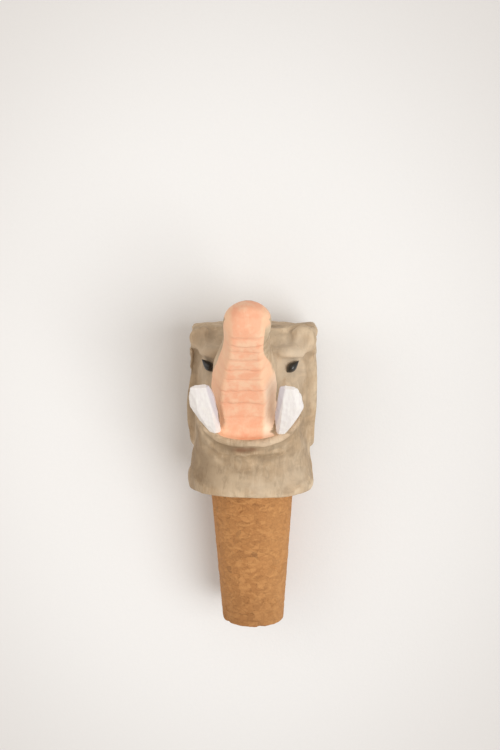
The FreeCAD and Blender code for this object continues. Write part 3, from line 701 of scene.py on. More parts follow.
def joined_by_voxels(mesh, size):
    """The union of the closed surfaces in a mesh, as one even skin of cells of the given size."""
    thing = bpy.data.objects.new(mesh.name, mesh)
    bpy.context.collection.objects.link(thing)
    remesh = thing.modifiers.new("Join", "REMESH")
    remesh.mode = "VOXEL"
    remesh.voxel_size = size
    depsgraph = bpy.context.evaluated_depsgraph_get()
    joined = bpy.data.meshes.new_from_object(thing.evaluated_get(depsgraph))
    bpy.data.objects.remove(thing)
    bpy.data.meshes.remove(mesh)
    return joined


def mesh_points(mesh):
    """The places of a mesh's points."""
    points = np.empty(len(mesh.vertices) * 3)
    mesh.vertices.foreach_get("co", points)
    return points.reshape(-1, 3)


def set_mesh_points(mesh, points):
    """Moves a mesh's points."""
    mesh.vertices.foreach_set("co", points.ravel())
    mesh.update()


def mesh_normals(mesh):
    """The direction that each point of a mesh faces."""
    normals = np.empty(len(mesh.vertices) * 3)
    mesh.vertex_normals.foreach_get("vector", normals)
    return normals.reshape(-1, 3)


def mesh_edges(mesh):
    """The two points of each edge of a mesh."""
    edges = np.empty(len(mesh.edges) * 2, dtype=np.int64)
    mesh.edges.foreach_get("vertices", edges)
    return edges.reshape(-1, 2)


def neighbour_mean(values, edges):
    """The mean of a value, or of each column, over the points that edges join to each point."""
    columns = values.reshape(len(values), -1)
    count = np.bincount(edges.ravel(), minlength=len(values))
    total = np.empty_like(columns)
    for k in range(columns.shape[1]):
        column = columns[:, k]
        total[:, k] = np.bincount(edges[:, 0], weights=column[edges[:, 1]], minlength=len(values))
        total[:, k] += np.bincount(edges[:, 1], weights=column[edges[:, 0]], minlength=len(values))
    return (total / np.maximum(count, 1)[:, None]).reshape(values.shape)


def smoothed(points, edges, rounds, share=0.5):
    """Each round moves every point a share of the way to the mean of its neighbours."""
    for _ in range(rounds):
        points = points + share * (neighbour_mean(points, edges) - points)
    return points


def sunk(points, normals, edges):
    """How far each point lies under its broadly smoothed surface, in millimetres."""
    broad = smoothed(points, edges, BROAD_ROUNDS)
    return ((broad - points) * normals).sum(axis=1) / MM


def store(mesh, name, values):
    """A value at each point of a mesh, or three, that a material reads by name."""
    kind = "FLOAT" if values.ndim == 1 else "FLOAT_VECTOR"
    layer = mesh.attributes.new(name, kind, "POINT")
    layer.data.foreach_set("value" if values.ndim == 1 else "vector", values.ravel())


def hill(points, middle, radii):
    """A bell from 1 at the middle: exp of minus the squared distance counted in the radii."""
    away = (points - np.asarray(middle)) / np.asarray(radii)
    return np.exp(-(away ** 2).sum(axis=-1))


def band(values, middle, half, power=2):
    """1 at the middle and 0 far from it: exp(-((value - middle) / half)^power)."""
    return np.exp(-((values - middle) / half) ** power)


def falls(values, edge, soft):
    """From 1 to 0 as the value passes an edge: 1 / (1 + exp((value - edge) / soft))."""
    return 1 / (1 + np.exp((values - edge) / soft))


def rises(values, edge, soft):
    """From 0 to 1 as the value passes an edge: 1 / (1 + exp((edge - value) / soft))."""
    return 1 / (1 + np.exp((edge - values) / soft))


def waves(values, rows, side=1):
    """A sum of waves: height * sin(pace * value + start * side)."""
    return sum(height * np.sin(pace * values + start * side) for height, pace, start in rows)


def softened(values, width):
    """A running mean over width values, with both ends held."""
    padded = np.pad(values, width // 2, mode="edge")
    return np.convolve(padded, np.ones(width) / width, mode="valid")[:len(values)]


def soft_columns(rows, number, fine, soft):
    """The columns of a table of rows at finer numbers, straight between rows and then softened."""
    return [softened(np.interp(fine, number, column), soft) for column in rows.T]


def stacked_surface(sections, around=180, step=0.3, soft=9):
    """Superellipse rings up the axis.

    At height z and angle a, x is the half width times sign(cos a) |cos a|^(2/n), and y is the
    reach to the back or the front times the same of sin a. The half width, the reaches and the
    squareness n run straight from section to section and are then softened a little.
    """
    heights = np.arange(sections[0, 0], sections[-1, 0] + step / 2, step)
    columns = soft_columns(sections[:, 1:], sections[:, 0], heights, soft)
    half_width, front, back, squareness = [column[:, None] for column in columns]
    angle = angles(around)[None, :]
    across = np.sign(np.cos(angle)) * np.abs(np.cos(angle)) ** (2 / squareness)
    along = np.sign(np.sin(angle)) * np.abs(np.sin(angle)) ** (2 / squareness)
    x = half_width * across
    y = np.where(along > 0, back, front) * along
    z = np.broadcast_to(heights[:, None], x.shape)
    return closed_tube(np.stack((x, y, z), axis=-1))


def along_corners(corners, per_side):
    """Points along straight sides from corner to corner of a closed outline."""
    after = np.roll(corners, -1, axis=0)
    t = np.linspace(0, 1, per_side, endpoint=False)[None, :, None]
    return (corners[:, None] * (1 - t) + after[:, None] * t).reshape(-1, 2)


def round_outline(corners, per_side):
    """A closed Catmull-Rom curve through the corners of an outline."""
    before = np.roll(corners, 1, axis=0)[:, None]
    start = corners[:, None]
    end = np.roll(corners, -1, axis=0)[:, None]
    past = np.roll(corners, -2, axis=0)[:, None]
    t = np.linspace(0, 1, per_side, endpoint=False)[None, :, None]
    curve = 0.5 * (2 * start + (end - before) * t
                   + (2 * before - 5 * start + 4 * end - past) * t ** 2
                   + (3 * start - before - 3 * end + past) * t ** 3)
    return curve.reshape(-1, 2)


def trunk_stations(fine):
    """Height, reach, lean, thickness, half width and sway of the trunk at section numbers.

    Each section's middle lies one step on from the one before, at the trunk's angle there:
    root angle + swing * sin(turn * share). The lean runs evenly from root to tip, and the
    thickness is tip + (root - tip) * (1 - share)^taper. Numbers below zero are the foot, which
    runs straight on into the mouth.
    """
    number = np.arange(TRUNK_LAST + 1)
    share = number / TRUNK_LAST
    base, swing, turn = TRUNK_HEADING
    heading = np.radians(base + swing * np.sin(np.radians(turn * share)))
    steps = TRUNK_STEP * np.stack((np.cos(heading), np.sin(heading)), axis=-1)
    steps[0] = TRUNK_ROOT
    middle = np.cumsum(steps, axis=0)
    lean = np.radians(TRUNK_LEAN[0] + (TRUNK_LEAN[1] - TRUNK_LEAN[0]) * share)
    depth = TRUNK_DEPTH[1] + (TRUNK_DEPTH[0] - TRUNK_DEPTH[1]) * (1 - share) ** TRUNK_TAPER
    columns = (middle[:, 0], middle[:, 1], lean, depth, np.array(TRUNK_HALF_WIDTHS),
               np.array(TRUNK_SWAY))
    foot = np.minimum(fine, 0)
    stations = [np.interp(fine, number, column) for column in columns]
    stations[0] = stations[0] + foot * TRUNK_STEP * math.cos(heading[0])
    stations[1] = stations[1] + foot * TRUNK_STEP * math.sin(heading[0])
    return stations


def trunk_surface(rings=120, end_rings=12, per_side=12, soft=7):
    """Octagons carried along the trunk's line, which turn to ovals towards a rounded end.

    A corner's share of the half width goes along X, and its share of the thickness along the
    direction from the underside to the back, which leans back from level by the section's lean.
    The share of the oval grows from 0 to 1 over the last sections. In the rounded end, at a turn
    from 0 to a quarter, the height grows by the sine and the half width falls by one less the
    cosine.
    """
    fine = np.linspace(-TRUNK_FOOT, TRUNK_LAST - TIP_START, rings)
    height, reach, lean, depth, half_width, sway = [
        softened(column, soft) for column in trunk_stations(fine)]
    turn = np.linspace(0, math.pi / 2, end_rings + 1)[1:]
    shrink = 1 - TIP_SHRINK * (1 - np.cos(turn))
    thin = TIP_THICKNESS_KEPT + (1 - TIP_THICKNESS_KEPT) * shrink
    height = np.append(height, height[-1] + TIP_ROUND * np.sin(turn))
    reach = np.append(reach, reach[-1] + TIP_FORWARD * np.sin(turn))
    lean = np.append(lean, lean[-1] - TIP_LEAN * np.sin(turn))
    depth = np.append(depth, depth[-1] * thin)
    half_width = np.append(half_width, half_width[-1] * shrink)
    sway = np.append(sway, np.full(end_rings, sway[-1]))
    oval_share = np.clip((fine - TRUNK_LAST + OVAL_SECTIONS) / OVAL_SECTIONS, 0, 1)
    oval_share = np.append(oval_share, np.ones(end_rings))[:, None, None]
    octagon = along_corners(TRUNK_CORNERS, per_side)
    angle = np.arctan2(octagon[:, 1] / OVAL_FLATNESS, octagon[:, 0])
    oval = np.stack((np.cos(angle), OVAL_FLATNESS * np.sin(angle)), axis=-1) * OVAL_FIT
    share = octagon[None] * (1 - oval_share) + oval[None] * oval_share
    across = share[..., 0] * half_width[:, None] + sway[:, None]
    deep = share[..., 1] * depth[:, None]
    y = -reach[:, None] + deep * np.cos(lean)[:, None]
    z = height[:, None] + deep * np.sin(lean)[:, None]
    return closed_tube(np.stack((across, y, z), axis=-1))


def ear_surface(side, rings=70, per_side=9):
    """The ear's outline drawn in and out: a dished face, a rim, a bevel and a root in the head."""
    fine = np.linspace(0, len(EAR_RINGS) - 1, rings)
    number = np.arange(len(EAR_RINGS))
    share = np.interp(fine, number, EAR_RINGS[:, 0])[:, None]
    out = np.interp(fine, number, EAR_RINGS[:, 1])[:, None]
    outline = round_outline(EAR_OUTLINE, per_side)
    y = -(EAR_MIDDLE[0] + share * outline[:, 0][None] * EAR_SIZE[0])
    z = EAR_MIDDLE[1] + share * outline[:, 1][None] * EAR_SIZE[1]
    x = side * np.broadcast_to(out, y.shape)
    return closed_tube(np.stack((x, y, z), axis=-1))


def ball_surface(middle, radii, turn, around=48, rows=25):
    """An ellipsoid: latitude rings scaled by the radii, turned, and moved to its middle."""
    latitude = np.linspace(-math.pi / 2, math.pi / 2, rows + 2)[1:-1, None]
    longitude = angles(around)[None]
    ball = np.stack((np.cos(latitude) * np.cos(longitude), np.cos(latitude) * np.sin(longitude),
                     np.broadcast_to(np.sin(latitude), (rows, around))), axis=-1)
    return closed_tube((ball * np.asarray(radii)) @ turn.T + np.asarray(middle))


def almond_surface(middle, radii, turn, around=64, rows=41):
    """Rings along the eye, wider below its middle, with a pointed outer end.

    At t from -1 to 1 the share of both widths is (1 - t^2)^power times (middle - slope * t).
    """
    t = np.linspace(-1, 1, rows + 2)[1:-1, None]
    share = (1 - t ** 2) ** ALMOND_POWER * (ALMOND_WIDTH[0] - ALMOND_WIDTH[1] * t)
    angle = angles(around)[None]
    rings = np.stack((radii[0] * share * np.cos(angle), radii[1] * share * np.sin(angle),
                      radii[2] * t + 0 * angle), axis=-1)
    return closed_tube(rings @ turn.T + np.asarray(middle))


def lip_surface(rings=150, around=28, soft=13):
    """A bead along the lip's line, which is a smooth curve through its points and their mirror.

    Each ring stands square to the line: its two directions are the line's run crossed with the
    part's Z, and the run crossed with that.
    """
    whole = np.concatenate((LIP_LINE[:0:-1] * (-1, 1, 1, 1), LIP_LINE))
    fine = np.linspace(0, len(whole) - 1, rings)
    out, reach, height, share = soft_columns(whole, np.arange(len(whole)), fine, soft)
    line = np.stack((out, -reach, height), axis=-1)
    run = np.gradient(line, axis=0)
    run /= np.linalg.norm(run, axis=1)[:, None]
    first = np.cross(run, (0.0, 0.0, 1.0))
    first /= np.linalg.norm(first, axis=1)[:, None]
    second = np.cross(run, first)
    angle = angles(around)[None, :, None]
    ring = np.cos(angle) * first[:, None] + np.sin(angle) * second[:, None]
    thick = (LIP_THICKNESS * share)[:, None, None]
    return closed_tube(line[:, None] + thick * ring)


def flank_push(x, y, z):
    """The carver's unevenness: an inset of the upper left flank, and fuller middles of both."""
    push, out, up, forward = LEFT_INSET
    total = push * falls(x, *out) * rises(z, *up) * falls(y, *forward)
    push, out, height = RIGHT_SWELL
    total += push * rises(x, *out) * band(z, *height, power=4)
    push, out, height = LEFT_SWELL
    total += push * falls(x, *out) * band(z, *height, power=4)
    push, middle, radii = COLLAR_FILL
    return total + push * hill(np.stack((x, y, z), axis=-1), middle, radii)


def crease_push(x, side, z):
    """Creases under the chin and under the lip: bells across two wavering lines.

    The chin's line rises with the fourth power of the distance out, and the other keeps its
    distance under the lip's line.
    """
    waver = waves(x, CREASE_WAVER)
    least, swing = CREASE_STRENGTH
    strong = least + waves(x, swing)
    depth, height, half = CHIN_CREASE
    rise, rise_out = CHIN_RISE
    total = depth * strong * band(z, height + rise * (side / rise_out) ** 4 + waver, half)
    depth, under, half = LIP_CREASE
    lip_height = np.interp(side, LIP_LINE[:, 0], LIP_LINE[:, 2])
    total += depth * band(z, lip_height - under + LIP_WAVER * waver, half)
    return -total * falls(side, *CREASE_ENDS)


def groove_push(x, side, z):
    """The groove between cheek and ear, a bell across a line that wanders up the head.

    The starts of its waves are added at the right and taken off at the left.
    """
    depth, out, half = EAR_GROOVE
    share, rows = GROOVE_WANDER
    wander = waves(z, rows, np.sign(x))
    deeper = EAR_GROOVE_LEAST + sum(more * band(z, *place) for more, *place in EAR_GROOVE_BANDS)
    ends = falls(z, *EAR_GROOVE_TOP) * rises(z, *EAR_GROOVE_FOOT)
    return -depth * band(side, out + share * wander, half) * deeper * ends


def carved_forms(upright):
    """How far each point of the joined head is pushed out, in millimetres.

    The sum of the bells of the face, of the groove and the creases in the faces to the front,
    and of the flanks' unevenness, with nothing on the back.
    """
    x, y, z = np.moveaxis(upright, -1, 0)
    side = np.abs(x)
    mirrored = np.stack((side, y, z), axis=-1)
    push = sum(height * hill(mirrored, *place) for height, *place in FACE_BELLS.values())
    push = push + falls(y, *FRONT) * (groove_push(x, side, z) + crease_push(x, side, z))
    push = push + flank_push(x, y, z)
    return push * (1 - rises(y, *BACK))


def knife_cuts(points, normals, along, size, dish, seed):
    """Shallow dishes left by the knife, as a push along the normal in millimetres.

    One seed point is taken from each cell of a grid of the given size. A point's height over a
    seed's tangent plane, plus the dish times the squared distance counted shorter along the
    stroke, is the cut's floor there, and the lowest floor of all near seeds is the surface. The
    floor rises where the surface turns away from the seed, and towards the end of its reach.
    """
    draw = np.random.default_rng(seed)
    cell = np.floor(points / size + draw.uniform(0, 1, 3)).astype(np.int64)
    order = draw.permutation(len(points))
    _, first = np.unique(cell[order], axis=0, return_index=True)
    seeds = order[first]
    stroke = along + KNIFE_STRAY * draw.normal(size=(len(seeds), 3))
    seed_normals = normals[seeds]
    stroke -= (stroke * seed_normals).sum(axis=1)[:, None] * seed_normals
    stroke /= np.linalg.norm(stroke, axis=1)[:, None]
    depth = draw.uniform(0.0, KNIFE_DEPTH, len(seeds))
    reach = (KNIFE_REACH * size) ** 2
    floor = np.full(len(points), np.inf)
    for k, seed_point in enumerate(points[seeds]):
        away = points - seed_point
        near = np.flatnonzero((away ** 2).sum(axis=1) < reach)
        facing = normals[near] @ seed_normals[k]
        near, facing = near[facing > KNIFE_FACING], facing[facing > KNIFE_FACING]
        away = away[near]
        far = (away ** 2).sum(axis=1)
        over = away @ seed_normals[k]
        run = away @ stroke[k]
        wide = far - over ** 2 - run ** 2
        cut = -over / facing + dish * (wide + (run / KNIFE_STRETCH) ** 2) - depth[k]
        cut += KNIFE_TURN[1] * np.maximum(KNIFE_TURN[0] - facing, 0)
        cut += KNIFE_RUN_OUT[1] * np.maximum(far / reach - KNIFE_RUN_OUT[0], 0)
        floor[near] = np.minimum(floor[near], cut)
    floor[~np.isfinite(floor)] = 0
    return np.clip(floor, -KNIFE_LIMIT, KNIFE_LIMIT)


def trunk_coordinates(upright, samples=240):
    """For each point: section number along the trunk, share across and share of the thickness.

    The section is the one whose plane the point is nearest to. Past the tip, the number grows by
    the distance over the step.
    """
    fine = np.linspace(-TRUNK_FOOT, TRUNK_LAST, samples)
    height, reach, lean, depth, half_width, sway = trunk_stations(fine)
    best = np.full(len(upright), np.inf)
    number = np.zeros(len(upright))
    deep = np.full(len(upright), OFF_TRUNK)
    across = np.zeros(len(upright))
    for k in range(samples):
        dy = upright[:, 1] + reach[k]
        dz = upright[:, 2] - height[k]
        off_plane = np.abs(-dy * math.sin(lean[k]) + dz * math.cos(lean[k]))
        in_depth = (dy * math.cos(lean[k]) + dz * math.sin(lean[k])) / depth[k]
        in_width = (upright[:, 0] - sway[k]) / half_width[k]
        inside = (np.abs(in_depth) < TRUNK_REACH[0]) & (np.abs(in_width) < TRUNK_REACH[1])
        closer = inside & (off_plane < best)
        best[closer] = off_plane[closer]
        number[closer] = fine[k]
        deep[closer] = in_depth[closer]
        across[closer] = in_width[closer]
    past_tip = (number >= TRUNK_LAST - PAST_TIP[0]) & (best > PAST_TIP[1])
    number[past_tip] = TRUNK_LAST + best[past_tip] / TRUNK_STEP
    deep[best > TRUNK_NEAR] = OFF_TRUNK
    return np.stack((number, across, deep), axis=-1)


class Wire:
    """A shader socket, or a number, that adds Math nodes when it is used in an expression."""

    def __init__(self, graph, socket):
        self.graph = graph
        self.socket = socket

    def _math(self, operation, *values):
        return self.graph.node("ShaderNodeMath", "Value", {"operation": operation}, *values)

    def __add__(self, other):
        return self._math("ADD", self, other)

    __radd__ = __add__

    def __sub__(self, other):
        return self._math("SUBTRACT", self, other)

    def __rsub__(self, other):
        return self._math("SUBTRACT", other, self)

    def __mul__(self, other):
        return self._math("MULTIPLY", self, other)

    __rmul__ = __mul__

    def smooth(self, low, high):
        """0 up to low, 1 from high, and a soft step between."""
        return self.graph.node("ShaderNodeMapRange", "Result", {"interpolation_type": "SMOOTHSTEP"},
                               self, low, high, 0.0, 1.0)

    def least(self, other):
        """The smaller of two numbers."""
        return self._math("MINIMUM", self, other)

    def most(self, other):
        """The larger of two numbers."""
        return self._math("MAXIMUM", self, other)

    def size(self):
        """The number without its sign."""
        return self._math("ABSOLUTE", self)


class Graph:
    """The nodes of one material."""

    def __init__(self, name, **constants):
        self.material = bpy.data.materials.new(name)
        self.material.use_nodes = True
        self.tree = self.material.node_tree
        self.shader = self.tree.nodes["Principled BSDF"]
        self.known = {}
        for key, value in constants.items():
            self.shader.inputs[key.replace("_", " ")].default_value = value

    def connect(self, value, socket):
        """Links a wire to a socket, or sets the socket, with 1 for an alpha that is left out."""
        if isinstance(value, Wire):
            self.tree.links.new(value.socket, socket)
        elif hasattr(value, "__len__"):
            filled = tuple(value)
            wanted = len(socket.default_value)
            socket.default_value = (filled + (1.0,) * wanted)[:wanted]
        else:
            socket.default_value = value

    def node(self, kind, output, set_first, *inputs, **named):
        """Adds a node and gives its output, or a list of them where several are asked for.

        What set_first names is set before the sockets are filled, and stops are a ramp's numbers
        and colours. The inputs fill the sockets in order, except that None leaves one as it is.
        """
        node = self.tree.nodes.new(kind)
        for key, value in set_first.items():
            if key == "stops":
                self.set_stops(node.color_ramp.elements, value)
            else:
                setattr(node, key, value)
        for k, value in enumerate(inputs):
            if value is not None:
                self.connect(value, node.inputs[k])
        for key, value in named.items():
            self.connect(value, node.inputs[key.replace("_", " ")])
        if isinstance(output, tuple):
            return [Wire(self, node.outputs[name]) for name in output]
        return Wire(self, node.outputs[output])

    def set_stops(self, elements, stops):
        """Gives a ramp its numbers and colours."""
        while len(elements) < len(stops):
            elements.new(0.5)
        for element, (position, colour) in zip(elements, stops):
            element.position = position
            element.color = (*colour, 1.0)

    def place(self, stretch=EVEN, turn=STRAIGHT):
        """Object coordinates in millimetres, stretched and turned."""
        coordinates = self.node("ShaderNodeTexCoord", "Object", {})
        return self.node("ShaderNodeMapping", "Vector", {"vector_type": "POINT"}, coordinates,
                         Rotation=turn, Scale=tuple(s / MM for s in stretch))

    def value(self, name):
        """The noise of that name, from 0 to 1, or else the number stored at the mesh's points."""
        if name not in self.known and name in PATTERNS:
            stretch, turn, scale, detail, roughness, distortion = PATTERNS[name]
            self.known[name] = self.node(
                "ShaderNodeTexNoise", "Fac", {}, Vector=self.place(stretch, turn), Scale=scale,
                Detail=detail, Roughness=roughness, Distortion=distortion)
        elif name not in self.known:
            self.known[name] = self.node("ShaderNodeAttribute", "Fac", {"attribute_name": name})
        return self.known[name]

    def parts(self, vector):
        """The three numbers of a vector."""
        return self.node("ShaderNodeSeparateXYZ", ("X", "Y", "Z"), {}, vector)

    def mix(self, share, first, second):
        """The first colour, and the second by its share."""
        return self.node("ShaderNodeMix", 2, {"data_type": "RGBA"}, share, None, None, None, None,
                         None, first, second)

    def coats(self, colour, rows, **derived):
        """A colour with the coats of a table over it, which may follow derived values by name."""
        for name, low, high, where_low, share, coat in rows:
            lies = derived.get(name.replace(" ", "_")) or self.value(name)
            if low is not None:
                lies = lies.smooth(low, high)
            if where_low:
                lies = 1 - lies
            colour = self.mix(lies * share, colour, paint(coat))
        return colour

    def finish(self, colour, roughness, height, depth):
        """The material, with bumps of that height in metres."""
        self.connect(colour, self.shader.inputs["Base Color"])
        self.connect(roughness, self.shader.inputs["Roughness"])
        bump = self.node("ShaderNodeBump", "Normal", {}, Strength=1.0, Distance=depth,
                         Height=height)
        self.connect(bump, self.shader.inputs["Normal"])
        return self.material


def tinted(colour, shares):
    """A colour with its red, green and blue times their shares, and none over 1."""
    return tuple(min(1.0, c * k) for c, k in zip(colour, shares))


def paint(coat):
    """A colour from its shares, from its name in the settings, or from a name and a tint."""
    if isinstance(coat, str):
        return getattr(settings(), coat)
    if isinstance(coat[0], str):
        return tinted(getattr(settings(), coat[0]), coat[1])
    return coat


def wrinkle_pattern(graph, number, across):
    """Lines across the trunk: 1 on a line and 0 away from it, each a little crooked.

    Slant and width swing by the sine from line to line, and the strength by its square.
    """
    wobble = (graph.value("wrinkle wobble") - 0.5) * WRINKLE_WOBBLE
    lean, lean_pace, lean_start = WRINKLE_SLANT
    least_width, more_width, width_pace = WRINKLE_WIDTH
    least_strength, more_strength, strength_pace = WRINKLE_STRENGTH
    lines = None
    for k, position in enumerate(WRINKLES):
        slant = lean * math.sin(lean_pace * k + lean_start)
        width = least_width + more_width * math.sin(width_pace * k)
        strength = least_strength + more_strength * math.sin(k * strength_pace) ** 2
        away = (number + wobble + across * slant - position).size()
        line = (1 - away.smooth(WRINKLE_CORE, width)) * strength
        lines = line if lines is None else lines.most(line)
    return lines


def painted_share(graph, number, across, deep):
    """Where the salmon paint lies: the trunk's underside and its tip, with ragged edges."""
    ragged = (graph.value("ragged") - 0.5) * PAINT_RAGGED
    nearer, nearer_run = BARE_NEARER
    bare_edge = BARE_OUT - nearer * number.smooth(*nearer_run)
    bare_run = number.smooth(*BARE_FROM) * (1 - number.smooth(*BARE_TO))
    bare_side = (across - bare_edge).smooth(*BARE_SOFT) * bare_run
    mouth_edge = across * across * MOUTH_CURVE + ragged * MOUTH_RAGGED
    past_mouth = (number - mouth_edge).smooth(*MOUTH_SOFT)
    more_right, right_run = SIDE_MORE_RIGHT
    more_on, on_run = SIDE_MORE_ON
    side_edge = across.size() - SIDE_OUT - more_right * across.smooth(*right_run)
    side_edge = side_edge - more_on * number.smooth(*on_run)
    within = past_mouth * (1 - (side_edge + ragged).smooth(*SIDE_SOFT))
    under = 1 - (deep + ragged * UNDER_RAGGED).smooth(*UNDER_SOFT)
    tip = (number + ragged).smooth(*TIP_FROM) * (1 - (deep + ragged).smooth(*TIP_SOFT))
    return (under * within * (1 - bare_side)).most(tip)


def painted_wood():
    """Thin grey-beige wash over wood, and salmon paint on the trunk's underside."""
    s = settings()
    graph = Graph("painted_wood", IOR=1.45)
    stored = graph.node("ShaderNodeAttribute", "Vector", {"attribute_name": "trunk"})
    number, across, deep = graph.parts(stored)
    fibre = graph.value("fibre")
    fine_fibre = graph.value("fine fibre")
    brushed = graph.value("brushed")
    between = tuple((a + b) / 2 for a, b in zip(s.wash, s.wash_dark))
    # The lip's worn paint and painted highlight.
    rubbed = graph.value("lip") * brushed.smooth(*LIP_BRUSHED)
    wash = graph.coats(between, WASH_COATS, rubbed_lip=rubbed)

    faint = 1 - across.size().smooth(*FAINT_EDGE) * FAINT_SHARE
    wrinkles = wrinkle_pattern(graph, number, across) * faint
    # Painted light on the trunk's lower right flank.
    right_flank = across.smooth(*PAINTED_LIGHT_OUT) * (1 - number.smooth(*PAINTED_LIGHT_RUN))
    salmon = graph.coats(s.salmon, SALMON_COATS, off_middle=across.size(),
                         right_flank=right_flank, wrinkles=wrinkles)
    painted = painted_share(graph, number, across, deep)

    least, by_fibre, by_paint = WOOD_ROUGHNESS
    roughness = least + by_fibre * fibre - by_paint * painted
    coarse, fine, brush = WOOD_RELIEF
    grain = fibre * coarse + fine_fibre * fine + brushed * brush
    height = grain * (1 - PAINT_FILLS * painted) - wrinkles * painted * WRINKLE_RELIEF
    return graph.finish(graph.mix(painted, wash, salmon), roughness, height, WOOD_BUMP)


def tusk_paint():
    """White paint brushed along the tusk, thinner on the edges, with painted shade on its inner
    facets.
    """
    graph = Graph("white_paint", IOR=1.45)
    brush = graph.value("tusk brush")
    patch = graph.value("tusk patch")
    colour = graph.coats(tinted(settings().tusk_white, TUSK_SHADE), TUSK_COATS)
    least, more = TUSK_ROUGHNESS
    return graph.finish(colour, least + more * patch, brush + patch * TUSK_RELIEF, TUSK_BUMP)


def eye_paint():
    """Gloss black paint with a faint brush texture."""
    graph = Graph("gloss_black", IOR=1.5, Coat_Weight=0.4, Coat_Roughness=0.2)
    brush = graph.value("eye brush")
    colour = graph.coats(EYE_BLACK, EYE_COATS)
    least, more = EYE_ROUGHNESS
    return graph.finish(colour, least + more * brush, brush, EYE_BUMP)


def pressed_cork():
    """Cork granules of one to three millimetres, each of its own brown, with dark flecks."""
    middle = settings().cork_middle
    graph = Graph("pressed_cork", IOR=1.4)
    scale, detail = CORK_BEND_NOISE
    bend = graph.node("ShaderNodeTexNoise", "Color", {}, Vector=graph.place(), Scale=scale,
                      Detail=detail)
    bent = graph.node("ShaderNodeVectorMath", "Vector", {"operation": "MULTIPLY_ADD"}, bend,
                      CORK_BEND, graph.place(CORK_STRETCH, CORK_TURN))
    tone = graph.node("ShaderNodeTexVoronoi", "Color", {"feature": "F1"}, Vector=bent, Scale=1.0)
    edge = graph.node("ShaderNodeTexVoronoi", "Distance", {"feature": "DISTANCE_TO_EDGE"},
                      Vector=bent, Scale=1.0)
    pick, other = graph.node("ShaderNodeSeparateColor", ("Red", "Green"), {}, tone)
    cells = graph.value("cork cells")
    seams = 1 - edge.smooth(*SEAM_SOFT)
    picked, soft, share = DARK_PICK
    specks = graph.value("cork specks").smooth(*DARK_SPECKS)
    dark = ((other - picked).smooth(*soft) * share + specks).least(1.0)
    out, along, _ = graph.parts(graph.place())
    # Darker towards the cork's end.
    cell_share, run = DARK_END_RUN
    above_dark_end = (along + cells * cell_share).smooth(*run)
    # Painted light on the cork's left and right sides.
    cell_share, run = PAINTED_LIGHT_LEFT
    painted_light_left = (out * -1 + cells * cell_share).smooth(*run)
    cell_share, run = PAINTED_LIGHT_RIGHT
    painted_light = painted_light_left.most((out + cells * cell_share).smooth(*run))
    tones = tuple((position, tinted(middle, shares)) for position, shares in CORK_TONES)
    colour = graph.coats(
        graph.node("ShaderNodeValToRGB", "Color", {"stops": tones}, pick), CORK_COATS,
        broken_seams=seams * graph.value("cork seams").smooth(*SEAM_BROKEN), dark_flecks=dark,
        above_the_stain=above_dark_end, sunny_sides=painted_light)
    of_cells, of_seams, of_flecks, of_granules = CORK_RELIEF
    height = cells * of_cells - seams * of_seams - dark * of_flecks + pick * of_granules
    least, more = CORK_ROUGHNESS
    return graph.finish(colour, least + more * cells, height, CORK_BUMP)


def plain_wood():
    """Straight-grained pale wood for the hidden dowel."""
    graph = Graph("dowel_wood")
    grain = graph.value("dowel grain")
    colour = graph.coats(DOWEL_DARK, DOWEL_COATS)
    least, more = DOWEL_ROUGHNESS
    return graph.finish(colour, least + more * grain, grain, DOWEL_BUMP)


def pale_floor():
    """A smooth pale surface with a faint tooth, a painted pool of light and painted shade further
    out.
    """
    graph = Graph("pale_floor")
    tooth = graph.value("floor tooth")
    # Painted light in a pool round the stopper, and painted shade further out.
    from_light_pool = graph.node("ShaderNodeVectorMath", "Vector", {"operation": "ADD"},
                           graph.place(LIGHT_POOL_STRETCH), LIGHT_POOL_OFF)
    spread = graph.node("ShaderNodeVectorMath", "Value", {"operation": "LENGTH"}, from_light_pool)
    colour = graph.coats(settings().floor_tone, FLOOR_COATS, from_the_pool=spread)
    return graph.finish(colour, FLOOR_ROUGHNESS, tooth, FLOOR_BUMP)


